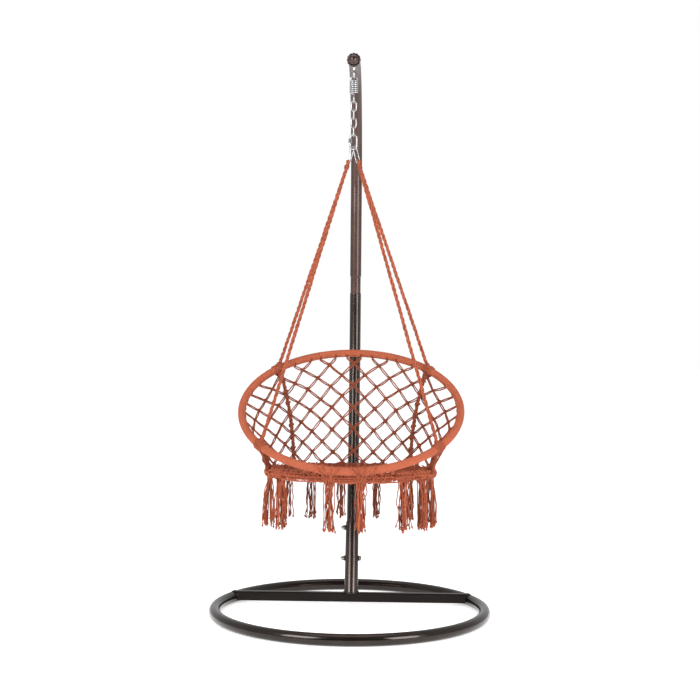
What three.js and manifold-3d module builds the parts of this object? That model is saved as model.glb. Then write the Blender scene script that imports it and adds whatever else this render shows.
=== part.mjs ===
// Macrame hanging nest chair on a bent-pole stand.
// Millimetres, +Z up. Origin: centre of the base ring, on the floor. +X is the sitter's left-right axis,
// -Y is the front, +Y is the pole's side.
import * as THREE from 'three';
import { mergeVertices } from 'three/addons/utils/BufferGeometryUtils.js';
import Module from 'manifold-3d';

const wasm = await Module();
wasm.setup();

// ---------------------------------------------------------------- dimensions
const GAP = 0.3;                 // clearance between pieces that touch

const TUBE_R = 21.2;             // 42.4 mm round tube
const BASE_R = 484;              // base ring centreline radius
const BASE_WALL = 1.5;
const BASE_STEPS = 48;
const BUTT = 0.4;                // butt gap where a bent ring closes

const BAR_Y = 207.5;             // crossbar centre
const BAR_DEPTH = 25, BAR_LOW = 10, BAR_TOP = 45;
const BAR_HALF = 412;

const LEAN = THREE.MathUtils.degToRad(20);   // lean of the socket and of the foot of the pole
const SOCKET_LEN = 265, SOCKET_R0 = 26, SOCKET_R1 = 24.2, SOCKET_BORE = 22.1;
const BOLT_AT = [127, 243];      // along the socket's axis
const BOLT_R = 5, BOLT_HOLE_R = 5.4, HEX_AF = 16, HEAD_H = 6.4, NUT_H = 8;
const SADDLE_R = 10, SADDLE_OUT = 4.5;

const LEAN_R = 1808;             // radius of the bend from the lean to the vertical
const LEAN_END_Z = 500;          // where the straight foot ends
const JOINT_Z = 1150, NECK_TOP_Z = 1217, NECK_IN_Z = 1062;
const NECK_R = 19.4, NECK_BORE = 17.6;
const LOWER_BORE = 20.1, UPPER_BORE = 19.1;
const CROOK_R = 430, TIP_Z = 1978, TIP_Y = -35;

const COLLAR_R = 24.9, COLLAR_LOBES = 12, COLLAR_T = 12, PLUG_R = 18.7, PLUG_L = 24;
const BALL_R = 17, BALL_CUT = 13;

const EYE_R = 13, EYE_W = 4;     // centreline radius and wire radius of the eye
const EYE_STEM_R = 5, EYE_SHANK_R = 4, EYE_HOLE_R = 4.4;
const HOOK_Z = 1925.8;           // wire centre at the top of the spring's upper hook

const SPRING_W = 2.9, SPRING_R = 13.1, COIL_TURNS = 6.75, COIL_TOP = 1909.5, COIL_BOTTOM = 1865.1;
const LOWER_HOOK_Z = 1832.7;     // wire centre at the bottom of the lower hook

const LINK_W = 2.4, LINK_R = 8.8, LINK_L = 34.8;     // wire radius, end radius, centreline length
const QL_W = 3, QL_R = 11.35, QL_L = 51;
const QL_GAP = [3, 11], QL_NUT = [-4, 12], QL_NUT_AF = 11, QL_NUT_BORE = 3.4;
const RING_W = 2, RING_R = 9, RING_L = 62, RING_LEAN = THREE.MathUtils.degToRad(15), RING_TURN = THREE.MathUtils.degToRad(45);

const ROPE_R = 6.5;
const HOOP = { R: 390, y: 0, z: 745.5, tilt: THREE.MathUtils.degToRad(27.6), tube: 9.5, bore: 8, wrapIn: 9.9, wrap: 14, steps: 40 };
const SEAT = { R: 288, y: -20, z: 523, tilt: THREE.MathUtils.degToRad(-3.6), tube: 8, bore: 6.5, wrapIn: 8.4, wrap: 13.5, steps: 32 };
const REAR_ROPE = 44.2, FRONT_ROPE = -38;            // degrees round the hoop from +X
const LASH_R = 19.6, LASH_BORE = 16.3, LASH_HALF = 4.2;   // lashing sleeve radii, half length in degrees
const NET_T = 7;                                     // net thickness as a solid
const SEAT_SAG = 38;
const TASSEL_LEN = 178, TASSEL_WIDE = 2, TASSEL_WIDE_REAR = 1.5;
const TASSELS = [-172, -145, -103, -81, -49, -30, -12, 15, 42, 72, 98.5, 122, 143];

// ---------------------------------------------------------------- finishes
const bronze = () => new THREE.MeshStandardMaterial({ color: 0x3d332d, roughness: 0.32, metalness: 0.75 });
const zinc = () => new THREE.MeshStandardMaterial({ color: 0xc9ccd0, roughness: 0.28, metalness: 0.95 });
const cord = () => new THREE.MeshStandardMaterial({ color: 0xbb6446, roughness: 0.88, metalness: 0 });
const bare = () => new THREE.MeshStandardMaterial({ color: 0x8b8d90, roughness: 0.45, metalness: 0.9 });

// ---------------------------------------------------------------- helpers
const root = new THREE.Group();
function add(name, geometry, material, parent = root) {
  const m = new THREE.Mesh(geometry, material);
  m.name = name;
  parent.add(m);
  return m;
}
// A regular polygon whose flats lie at distance a from its centre, with a flat at 0, 90, 180 and 270 degrees.
function polygon(target, a, n) {
  const r = a / Math.cos(Math.PI / n);
  for (let i = 0; i < n; i++) {
    const t = ((i + 0.5) / n) * 2 * Math.PI;
    if (i === 0) target.moveTo(r * Math.cos(t), r * Math.sin(t));
    else target.lineTo(r * Math.cos(t), r * Math.sin(t));
  }
  target.closePath();
  return target;
}
class Route extends THREE.Curve {
  constructor(f) { super(); this.f = f; this.arcLengthDivisions = 400; }
  getPoint(t, target = new THREE.Vector3()) { return target.copy(this.f(t)); }
}
function sweep(curve, steps, r, n, bore = 0, m = 0) {
  const s = polygon(new THREE.Shape(), r, n);
  if (bore) s.holes.push(polygon(new THREE.Path(), bore, m));
  return new THREE.ExtrudeGeometry(s, { steps, bevelEnabled: false, extrudePath: curve, curveSegments: 1 });
}
function toSolid(geometry) {
  let g = geometry.clone();
  if (!g.index) g.setIndex([...Array(g.attributes.position.count).keys()]);
  g.deleteAttribute('normal');
  g.deleteAttribute('uv');
  g = mergeVertices(g, 1e-4);
  const mesh = new wasm.Mesh({ numProp: 3, vertProperties: Float32Array.from(g.attributes.position.array), triVerts: Uint32Array.from(g.index.array) });
  return new wasm.Manifold(mesh);
}
function toGeometry(solid) {
  const m = solid.getMesh();
  const g = new THREE.BufferGeometry();
  const v = new Float32Array((m.vertProperties.length / m.numProp) * 3);
  for (let i = 0; i < v.length / 3; i++) for (let k = 0; k < 3; k++) v[3 * i + k] = m.vertProperties[i * m.numProp + k];
  g.setAttribute('position', new THREE.BufferAttribute(v, 3));
  g.setIndex(new THREE.BufferAttribute(Uint32Array.from(m.triVerts), 1));
  g.computeVertexNormals();
  return g;
}
const subtract = (a, ...tools) => tools.reduce((s, t) => s.subtract(toSolid(t)), a);
function rodX(r, x0, x1, y, z, n = 16) {
  const g = new THREE.CylinderGeometry(r, r, x1 - x0, n);
  g.rotateZ(Math.PI / 2);
  g.translate((x0 + x1) / 2, y, z);
  return g;
}
function rodZ(r, z0, z1, n = 16, x = 0, y = 0) {
  const g = new THREE.CylinderGeometry(r, r, z1 - z0, n);
  g.rotateX(Math.PI / 2);
  g.translate(x, y, (z0 + z1) / 2);
  return g;
}
// A ring of round wire stretched into a link, standing in the XZ plane. End arcs keep radius r; l is the centreline length.
function link(r, w, l, n = 18, sides = 8) {
  const g = new THREE.TorusGeometry(r, w, sides, n);
  g.rotateZ(Math.PI / n);
  g.rotateX(Math.PI / 2);
  const p = g.attributes.position, h = (l - 2 * r) / 2;
  for (let i = 0; i < p.count; i++) p.setZ(i, p.getZ(i) + Math.sign(p.getZ(i)) * h);
  return g;
}
// A slab with nu by nv faces, each of its points placed by map(u, v, w), with u, v in 0..1 and w in -0.5..0.5.
function slab(nu, nv, map) {
  const g = new THREE.BoxGeometry(1, 1, 1, nu, nv, 1), p = g.attributes.position;
  for (let i = 0; i < p.count; i++) {
    const q = map(p.getX(i) + 0.5, p.getY(i) + 0.5, p.getZ(i));
    p.setXYZ(i, q.x, q.y, q.z);
  }
  return g;
}
const V = (x, y, z) => new THREE.Vector3(x, y, z);
const rad = THREE.MathUtils.degToRad;

// ---------------------------------------------------------------- stand: base
const baseRoute = new Route((t) => {
  const e = BUTT / BASE_R, a = Math.PI / 2 + e / 2 + t * (2 * Math.PI - e);
  return V(BASE_R * Math.cos(a), BASE_R * Math.sin(a), TUBE_R);
});
add('base_ring', sweep(baseRoute, BASE_STEPS, TUBE_R, 16, TUBE_R - BASE_WALL, 10), bronze());
{
  // Rectangular tube with rounded corners; its ends are cut to the ring's inner side.
  const d = BAR_DEPTH / 2, h = (BAR_TOP - BAR_LOW) / 2;
  const box = (target, a, b, r) => {
    target.moveTo(-a + r, -b);
    for (const [cx, cy, a0] of [[a - r, -b + r, -90], [a - r, b - r, 0], [-a + r, b - r, 90], [-a + r, -b + r, 180]])
      for (let i = 0; i <= 2; i++) target.lineTo(cx + r * Math.cos(rad(a0 + 45 * i)), cy + r * Math.sin(rad(a0 + 45 * i)));
    target.closePath();
    return target;
  };
  const s = box(new THREE.Shape(), d, h, 3);
  s.holes.push(box(new THREE.Path(), d - 1.8, h - 1.8, 1.2));
  const g = new THREE.ExtrudeGeometry(s, { depth: 2 * BAR_HALF + 30, bevelEnabled: false, curveSegments: 1 });
  g.translate(0, 0, -(BAR_HALF + 15));
  g.rotateX(Math.PI / 2);       // section height along Z
  g.rotateZ(Math.PI / 2);
  g.translate(0, BAR_Y, (BAR_TOP + BAR_LOW) / 2);
  // cope the ends round the ring's tube
  const cope = sweep(baseRoute, BASE_STEPS, TUBE_R + GAP, 16);
  const solid = subtract(toSolid(g), cope);
  const parts = solid.decompose().sort((p, q) => q.volume() - p.volume());
  add('crossbar', toGeometry(parts[0]), bronze());
}

// ---------------------------------------------------------------- stand: socket, pole
// The pole's centreline by height, then the crook.
const footY = (z) => BAR_Y + (z - BAR_TOP) * Math.tan(LEAN);
const bendTopZ = LEAN_END_Z + LEAN_R * Math.sin(LEAN);
function poleY(z) {
  if (z < LEAN_END_Z) return footY(z);
  if (z < bendTopZ) return footY(LEAN_END_Z) - LEAN_R * Math.cos(LEAN) + Math.sqrt(LEAN_R ** 2 - (bendTopZ - z) ** 2);
  return footY(LEAN_END_Z) + LEAN_R * (1 - Math.cos(LEAN));
}
const poleTopY = poleY(1200);
const crookZ = TIP_Z - CROOK_R;
const byHeight = (z0, z1) => new Route((t) => { const z = z0 + t * (z1 - z0); return V(0, poleY(z), z); });
const axis = V(0, Math.sin(LEAN), Math.cos(LEAN));       // along the socket
const onAxis = (s) => V(0, BAR_Y, BAR_TOP).addScaledVector(axis, s);
const tilt = (g, s = 0) => { g.rotateX(-LEAN); g.translate(...onAxis(s).toArray()); return g; };   // +Z to the socket's axis

function socketR(s) { return SOCKET_R0 + (SOCKET_R1 - SOCKET_R0) * (s / SOCKET_LEN); }
const boltHoles = (r) => BOLT_AT.map((s) => { const c = onAxis(s); return rodX(r, -60, 60, c.y, c.z, 16); });
{
  const lathe = (pts, n) => { const g = new THREE.LatheGeometry(pts.map(([r, z]) => new THREE.Vector2(r, z)), n); g.rotateX(Math.PI / 2); return g; };
  const g = lathe([[SOCKET_BORE, -30], [socketR(-30), -30], [SOCKET_R1, SOCKET_LEN], [SOCKET_BORE, SOCKET_LEN], [SOCKET_BORE, -30]], 28);
  tilt(g);
  const below = new THREE.BoxGeometry(200, 200, 200);
  below.translate(0, BAR_Y, BAR_TOP + GAP - 100);
  add('pole_socket', toGeometry(subtract(toSolid(g), below, ...boltHoles(BOLT_HOLE_R))), bronze());
}
{
  const z0 = onAxis(14).z, z1 = JOINT_Z;
  const g = sweep(byHeight(z0, z1), 18, TUBE_R, 16, LOWER_BORE, 14);
  add('lower_pole', toGeometry(subtract(toSolid(g), ...boltHoles(BOLT_HOLE_R))), bronze());
}
{
  const straight = crookZ - NECK_TOP_Z, arc = (CROOK_R * Math.PI) / 2, tipRun = poleTopY - CROOK_R - TIP_Y;
  const total = straight + arc + tipRun;
  const main = new Route((t) => {
    const s = t * total;
    if (s < straight) return V(0, poleTopY, NECK_TOP_Z + s);
    if (s < straight + arc) {
      const a = (s - straight) / CROOK_R;
      return V(0, poleTopY - CROOK_R + CROOK_R * Math.cos(a), crookZ + CROOK_R * Math.sin(a));
    }
    return V(0, poleTopY - CROOK_R - (s - straight - arc), TIP_Z);
  });
  const tube = toSolid(sweep(main, 30, TUBE_R, 16, UPPER_BORE, 12));
  const neck = toSolid(sweep(byHeight(NECK_IN_Z, NECK_TOP_Z + 14), 4, NECK_R, 16, NECK_BORE, 12));
  const solid = subtract(tube.add(neck), rodZ(EYE_HOLE_R, TIP_Z - 40, TIP_Z + 40, 16));
  add('upper_pole', toGeometry(solid), bronze());
}

// bolts through the socket: head on +X, nut on -X, a saddle washer under each
const hexZ = (af, h, bore, n = 16) => {
  const s = polygon(new THREE.Shape(), af / 2, 6);
  if (bore) s.holes.push(polygon(new THREE.Path(), bore, n));
  return new THREE.ExtrudeGeometry(s, { depth: h, bevelEnabled: false, curveSegments: 1 });
};
const alongX = (g, sign, x, y, z) => { g.rotateY(sign > 0 ? Math.PI / 2 : -Math.PI / 2); g.translate(x, y, z); return g; };
['lower', 'upper'].forEach((label, i) => {
  const s = BOLT_AT[i], c = onAxis(s), r = socketR(s), face = r + SADDLE_OUT;
  const cone = new THREE.CylinderGeometry(SOCKET_R1 + GAP + 0.1, SOCKET_R0 + GAP + 0.1, SOCKET_LEN, 28);
  cone.rotateX(Math.PI / 2); cone.translate(0, 0, SOCKET_LEN / 2); tilt(cone);
  for (const [side, sg] of [['left', -1], ['right', 1]]) {
    const w = rodX(SADDLE_R, Math.min(sg * 12, sg * face), Math.max(sg * 12, sg * face), c.y, c.z, 20);
    const solid = subtract(toSolid(w), cone, rodX(BOLT_HOLE_R, -60, 60, c.y, c.z, 16));
    const parts = solid.decompose().sort((p, q) => q.volume() - p.volume());
    add(`saddle_washer_${label}_${side}`, toGeometry(parts[0]), bronze());
  }
  const head = alongX(hexZ(HEX_AF, HEAD_H, 0), 1, face + GAP, c.y, c.z);
  const nutOut = face + GAP + NUT_H;
  const shank = rodX(BOLT_R, -(nutOut + 4.5), face + GAP + 1, c.y, c.z, 16);
  add(`socket_bolt_${label}`, toGeometry(toSolid(head).add(toSolid(shank))), zinc());
  add(`socket_nut_${label}`, alongX(hexZ(HEX_AF, NUT_H, BOLT_R + GAP), -1, -(face + GAP), c.y, c.z), zinc());
});

// ---------------------------------------------------------------- stand: tip
{
  const s = new THREE.Shape();
  const n = COLLAR_LOBES * 4;
  for (let i = 0; i < n; i++) {
    const a = (i / n) * 2 * Math.PI, r = COLLAR_R - 1.6 + 1.6 * Math.cos(COLLAR_LOBES * a);
    if (i === 0) s.moveTo(r * Math.cos(a), r * Math.sin(a)); else s.lineTo(r * Math.cos(a), r * Math.sin(a));
  }
  s.closePath();
  const disc = new THREE.ExtrudeGeometry(s, { depth: COLLAR_T, bevelEnabled: false });
  disc.rotateX(Math.PI / 2);                        // thickness along -Y
  disc.translate(0, TIP_Y - GAP, TIP_Z);
  const plug = new THREE.CylinderGeometry(PLUG_R, PLUG_R, PLUG_L + 2, 20);
  plug.translate(0, TIP_Y - GAP + PLUG_L / 2 - 1, TIP_Z);
  add('finial_collar', toGeometry(toSolid(disc).add(toSolid(plug))), bronze());
  const y = TIP_Y - GAP - COLLAR_T - GAP;           // back of the ball
  const pts = [new THREE.Vector2(0, BALL_CUT)];
  const a0 = Math.acos(BALL_CUT / BALL_R);
  for (let i = 0; i <= 9; i++) {
    const a = a0 + ((Math.PI - a0) * i) / 9;
    pts.push(new THREE.Vector2(i === 9 ? 0 : BALL_R * Math.sin(a), BALL_R * Math.cos(a)));
  }
  const ball = new THREE.LatheGeometry(pts.reverse(), 20);
  ball.translate(0, y - BALL_CUT, TIP_Z);
  add('finial_ball', ball, bronze());
}
const eyeZ = HOOK_Z - SPRING_W - EYE_W - GAP + EYE_R;    // centre of the eye
{
  const eye = new THREE.TorusGeometry(EYE_R, EYE_W, 10, 24);
  eye.rotateY(Math.PI / 2);
  eye.translate(0, 0, eyeZ);
  const stem = rodZ(EYE_STEM_R, eyeZ + EYE_R - 2, TIP_Z - TUBE_R - GAP, 16);
  const nutTop = TIP_Z + TUBE_R + 0.4 + 5;
  const shank = rodZ(EYE_SHANK_R, TIP_Z - TUBE_R - 1.2, nutTop + 1.2, 16);
  add('eye_bolt', toGeometry(toSolid(eye).add(toSolid(stem)).add(toSolid(shank))), zinc());
  const nut = hexZ(13, 5, EYE_SHANK_R + GAP);
  nut.translate(0, 0, TIP_Z + TUBE_R + 0.4);
  add('eye_bolt_nut', nut, zinc());
}

// ---------------------------------------------------------------- spring
{
  const z0 = COIL_TOP + SPRING_W + GAP;
  add('spring_upper_hook', sweep(new Route((t) => {
    const a = t * Math.PI;
    return V(SPRING_R * Math.cos(a), 0, HOOK_Z - SPRING_R + SPRING_R * Math.sin(a));
  }), 14, SPRING_W, 10), zinc());
  if (Math.abs(z0 - (HOOK_Z - SPRING_R)) > 0.5) throw new Error('the hook must start on the coil');
  add('spring_coil', sweep(new Route((t) => {
    const a = -t * COIL_TURNS * 2 * Math.PI;
    return V(SPRING_R * Math.cos(a), SPRING_R * Math.sin(a), COIL_TOP + t * (COIL_BOTTOM - COIL_TOP));
  }), 81, SPRING_W, 8), zinc());
  const c = LOWER_HOOK_Z + SPRING_R, drop = COIL_BOTTOM - SPRING_W - GAP - c, arc = rad(250) * SPRING_R, total = drop + arc;
  add('spring_lower_hook', sweep(new Route((t) => {
    const s = t * total;
    if (s < drop) return V(0, SPRING_R, c + drop - s);
    const a = (s - drop) / SPRING_R;
    return V(0, SPRING_R * Math.cos(a), c - SPRING_R * Math.sin(a));
  }), 22, SPRING_W, 10), zinc());
}

// ---------------------------------------------------------------- chain and screw link
const pitchDown = (below, wa, wb) => below + wa + wb + GAP;      // top wire centre of the next link
let bottom = LOWER_HOOK_Z, wire = SPRING_W;
for (let i = 1; i <= 4; i++) {
  const top = pitchDown(bottom, wire, LINK_W);
  const g = link(LINK_R, LINK_W, LINK_L);
  if (i % 2 === 0) g.rotateZ(Math.PI / 2);
  g.translate(0, 0, top - LINK_L / 2);
  add(`chain_link_${i}`, g, zinc());
  bottom = top - LINK_L;
  wire = LINK_W;
}
const qlTop = pitchDown(bottom, LINK_W, QL_W), qlZ = qlTop - QL_L / 2;
{
  // an oval with its gap on the left side, under the nut
  const h = QL_L / 2 - QL_R, half = Math.PI * QL_R, up = h - QL_GAP[1], total = up + half + 2 * h + half + (h + QL_GAP[0]);
  add('quick_link', sweep(new Route((t) => {
    let s = t * total;
    if (s < up) return V(-QL_R, 0, qlZ + QL_GAP[1] + s);
    s -= up;
    if (s < half) { const a = Math.PI - s / QL_R; return V(QL_R * Math.cos(a), 0, qlZ + h + QL_R * Math.sin(a)); }
    s -= half;
    if (s < 2 * h) return V(QL_R, 0, qlZ + h - s);
    s -= 2 * h;
    if (s < half) { const a = -s / QL_R; return V(QL_R * Math.cos(a), 0, qlZ - h + QL_R * Math.sin(a)); }
    s -= half;
    return V(-QL_R, 0, qlZ - h + s);
  }), 34, QL_W, 10), zinc());
  const nut = hexZ(QL_NUT_AF, QL_NUT[1] - QL_NUT[0], QL_NUT_BORE, 12);
  nut.translate(-QL_R, 0, qlZ + QL_NUT[0]);
  add('quick_link_nut', nut, zinc());
}
const ringTop = qlZ - QL_L / 2 + QL_W + RING_W + 4.4;
const ringEnd = (sg) => V(sg * (2.7 + RING_L * Math.sin(RING_LEAN)), 0, ringTop - RING_L * Math.cos(RING_LEAN));
for (const [side, sg] of [['left', -1], ['right', 1]]) {
  const g = link(RING_R, RING_W, RING_L, 18, 8);
  g.translate(0, 0, -RING_L / 2);
  g.rotateZ(RING_TURN);
  g.rotateY(-sg * RING_LEAN);
  g.translate(sg * 2.7, 0, ringTop);
  add(`rope_ring_${side}`, g, zinc());
}

// ---------------------------------------------------------------- chair rings
const onRing = (c, deg, grow = 0) => {
  const a = rad(deg), R = c.R + grow;
  return V(R * Math.cos(a), c.y + R * Math.sin(a) * Math.cos(c.tilt), c.z + R * Math.sin(a) * Math.sin(c.tilt));
};
const arcRoute = (c, a0, a1) => new Route((t) => onRing(c, a0 + t * (a1 - a0)));
for (const [c, steel, wrap] of [[HOOP, 'upper_hoop', 'hoop_winding'], [SEAT, 'seat_ring', 'seat_ring_winding']]) {
  const e = (BUTT / c.R) * (180 / Math.PI);
  add(steel, sweep(arcRoute(c, 90 + e / 2, 450 - e / 2), c.steps, c.tube, 8, c.bore, 6), bare());
  add(wrap, sweep(arcRoute(c, 90 + e / 2, 450 - e / 2), c.steps, c.wrap, 12, c.wrapIn, 8), cord());
}

// ---------------------------------------------------------------- suspension ropes and lashings
const seatAt = { rear: 39.2, front: -13 };
const REAR_BOW = 22;              // the net draws the rear rope towards the middle by half of this
for (const [side, sg] of [['left', -1], ['right', 1]]) {
  const mirror = (v) => V(sg * v.x, v.y, v.z);
  for (const [place, deg, dy] of [['front', FRONT_ROPE, -7.4], ['rear', REAR_ROPE, 7.4]]) {
    const at = mirror(onRing(HOOP, deg));
    const start = ringEnd(sg).add(V(sg * 1.6, dy, -RING_W - 3.2));
    const dir = at.clone().sub(start).normalize();
    const end = at.clone().addScaledVector(dir, -(LASH_R + 5.5));
    add(`rope_${place}_${side}`, sweep(new THREE.LineCurve3(start, end), 1, ROPE_R, 10), cord());
    // sleeve of rope turns round the hoop
    const a0 = sg > 0 ? deg : 180 - deg;
    add(`lashing_${place}_${side}`, sweep(arcRoute(HOOP, a0 - LASH_HALF, a0 + LASH_HALF), 2, LASH_R, 12, LASH_BORE, 12), cord());
    // the rope runs on to the seat ring: inside the net at the rear, a braided bundle at the front
    const seat = mirror(onRing(SEAT, seatAt[place]));
    const inward = V(-at.x, -at.y, 0).normalize();
    const from = at.clone(), to = seat.clone();
    if (place === 'rear') { from.addScaledVector(inward, 12); to.addScaledVector(inward, 13); }
    const d = to.clone().sub(from).normalize();
    const r = place === 'rear' ? ROPE_R : 10;
    const a = from.clone().addScaledVector(d, LASH_R + (place === 'rear' ? 4 : 6.5));
    const b = to.clone().addScaledVector(d, -(SEAT.wrap + (place === 'rear' ? 6 : 17)));
    const mid = a.clone().add(b).multiplyScalar(0.5);
    if (place === 'rear') mid.add(V(-sg * REAR_BOW * 0.8, -REAR_BOW * 0.1, 0));
    add(place === 'rear' ? `rope_lower_rear_${side}` : `rope_bundle_front_${side}`, sweep(new THREE.QuadraticBezierCurve3(a, mid, b), place === 'rear' ? 8 : 2, r, 10), cord());
  }
}

// ---------------------------------------------------------------- nets
// The net's slab leaves room at its upper edge for the rear lashings, and its ends lean back, clear of the front bundles.
function netBetween(a0, a1, lean, thick, clear) {
  return (u, v, w) => {
    const a = a0 + lean * v + u * (a1 - a0 - 2 * lean * v);
    const near = Math.min(Math.abs(a - REAR_ROPE), Math.abs(a - 180 + REAR_ROPE));
    const clearTop = clear + 6.5 * THREE.MathUtils.clamp((12 - near) / 6.5, 0, 1);
    const p = onRing(HOOP, a), q = onRing(SEAT, a), d = q.clone().sub(p), len = d.length();
    d.divideScalar(len);
    // across the net: tangent of the mean ring x direction
    const tan = onRing(HOOP, a + 0.5).sub(onRing(HOOP, a - 0.5)).add(onRing(SEAT, a + 0.5)).sub(onRing(SEAT, a - 0.5)).normalize();
    const n = new THREE.Vector3().crossVectors(tan, d).normalize();
    const s = HOOP.wrap + clearTop + v * (len - HOOP.wrap - SEAT.wrap - clearTop - clear);
    return p.addScaledVector(d, s).addScaledVector(n, w * thick);
  };
}
add('back_net', slab(34, 3, netBetween(-27, 207, 31, NET_T, 4.2)), cord());
add('front_lashing', slab(12, 1, netBetween(-120, -60, 0, NET_T, 3.6)), cord());
{
  // sagging seat net, a thin dish inside the seat ring
  const R = SEAT.R - SEAT.wrap - 4, pts = [], n = 6;
  const z = (r) => -SEAT_SAG * (1 - (r / R) ** 2);
  for (let i = 0; i <= n; i++) pts.push(new THREE.Vector2((R * i) / n, z((R * i) / n) - NET_T / 2));
  for (let i = n; i >= 0; i--) pts.push(new THREE.Vector2((R * i) / n, z((R * i) / n) + NET_T / 2));
  const g = new THREE.LatheGeometry(pts, 28);
  g.rotateX(Math.PI / 2);
  g.rotateX(SEAT.tilt);
  g.translate(0, SEAT.y, SEAT.z);
  add('seat_net', g, cord());
}

// ---------------------------------------------------------------- tassels
TASSELS.forEach((deg, i) => {
  const p = onRing(SEAT, deg);
  const profile = [[0, 0], [6, 0], [8, -25], [10.5, -90], [11, -150], [7, -TASSEL_LEN], [0, -TASSEL_LEN]];
  const g = new THREE.LatheGeometry(profile.reverse().map(([r, z]) => new THREE.Vector2(r, z)), 8);
  g.rotateX(Math.PI / 2);
  g.scale(1.1 + 0.7 * Math.abs(Math.cos(rad(deg))), deg > 0 ? TASSEL_WIDE_REAR : TASSEL_WIDE, 1);
  g.rotateZ(rad(deg));
  g.translate(p.x, p.y, p.z - SEAT.wrap / Math.cos(Math.PI / 12) - 0.8);
  add(`tassel_${String(i + 1).padStart(2, '0')}`, g, cord());
});

export default root;
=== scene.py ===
import math

import bpy
import numpy as np
from mathutils import Matrix, Vector


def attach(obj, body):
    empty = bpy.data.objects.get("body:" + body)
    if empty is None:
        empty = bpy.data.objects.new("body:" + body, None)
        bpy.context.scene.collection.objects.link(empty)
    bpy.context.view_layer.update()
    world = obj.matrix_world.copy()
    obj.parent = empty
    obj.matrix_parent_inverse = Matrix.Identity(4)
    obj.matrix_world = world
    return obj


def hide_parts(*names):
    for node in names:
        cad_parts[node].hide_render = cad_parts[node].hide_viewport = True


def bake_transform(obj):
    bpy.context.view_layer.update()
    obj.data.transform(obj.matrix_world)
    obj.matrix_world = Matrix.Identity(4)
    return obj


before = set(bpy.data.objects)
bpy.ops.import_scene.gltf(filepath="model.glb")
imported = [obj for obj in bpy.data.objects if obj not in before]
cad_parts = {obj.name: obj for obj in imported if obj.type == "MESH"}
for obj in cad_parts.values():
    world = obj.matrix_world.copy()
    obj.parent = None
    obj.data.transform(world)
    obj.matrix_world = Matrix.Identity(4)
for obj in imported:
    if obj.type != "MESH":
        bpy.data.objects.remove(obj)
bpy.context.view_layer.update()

rng = np.random.default_rng(11)
rad = math.radians
TAU = 2 * math.pi
mm = 0.001


# ------------------------------------------------------------------ camera
def make_camera():
    dist, high, focal = 6.0, 1.2757, 1685.6           # metres, metres, picture widths of 700
    pitch, yaw, roll, az = rad(3.043), rad(-0.077), rad(0.483), rad(1.5)
    fw = Vector((math.sin(yaw) * math.cos(pitch), math.cos(yaw) * math.cos(pitch), -math.sin(pitch)))
    right0 = fw.cross(Vector((0, 0, 1))).normalized()
    up0 = right0.cross(fw)
    right = math.cos(roll) * right0 + math.sin(roll) * up0
    up = -math.sin(roll) * right0 + math.cos(roll) * up0
    turn = Matrix.Rotation(az, 3, "Z")
    fw, right, up = turn @ fw, turn @ right, turn @ up
    cam = bpy.data.cameras.new("camera")
    ob = bpy.data.objects.new("camera", cam)
    bpy.context.scene.collection.objects.link(ob)
    m = Matrix((right, up, -fw)).transposed().to_4x4()
    m.translation = turn @ Vector((0.002, -dist, high))
    ob.matrix_world = m
    cam.sensor_width = 36
    cam.lens = focal / 700 * 36
    cam.clip_start, cam.clip_end = 0.05, 60
    bpy.context.scene.camera = ob


make_camera()


# ------------------------------------------------------------------ mesh tools
def vec(*a):
    return np.array(a, float)


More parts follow.
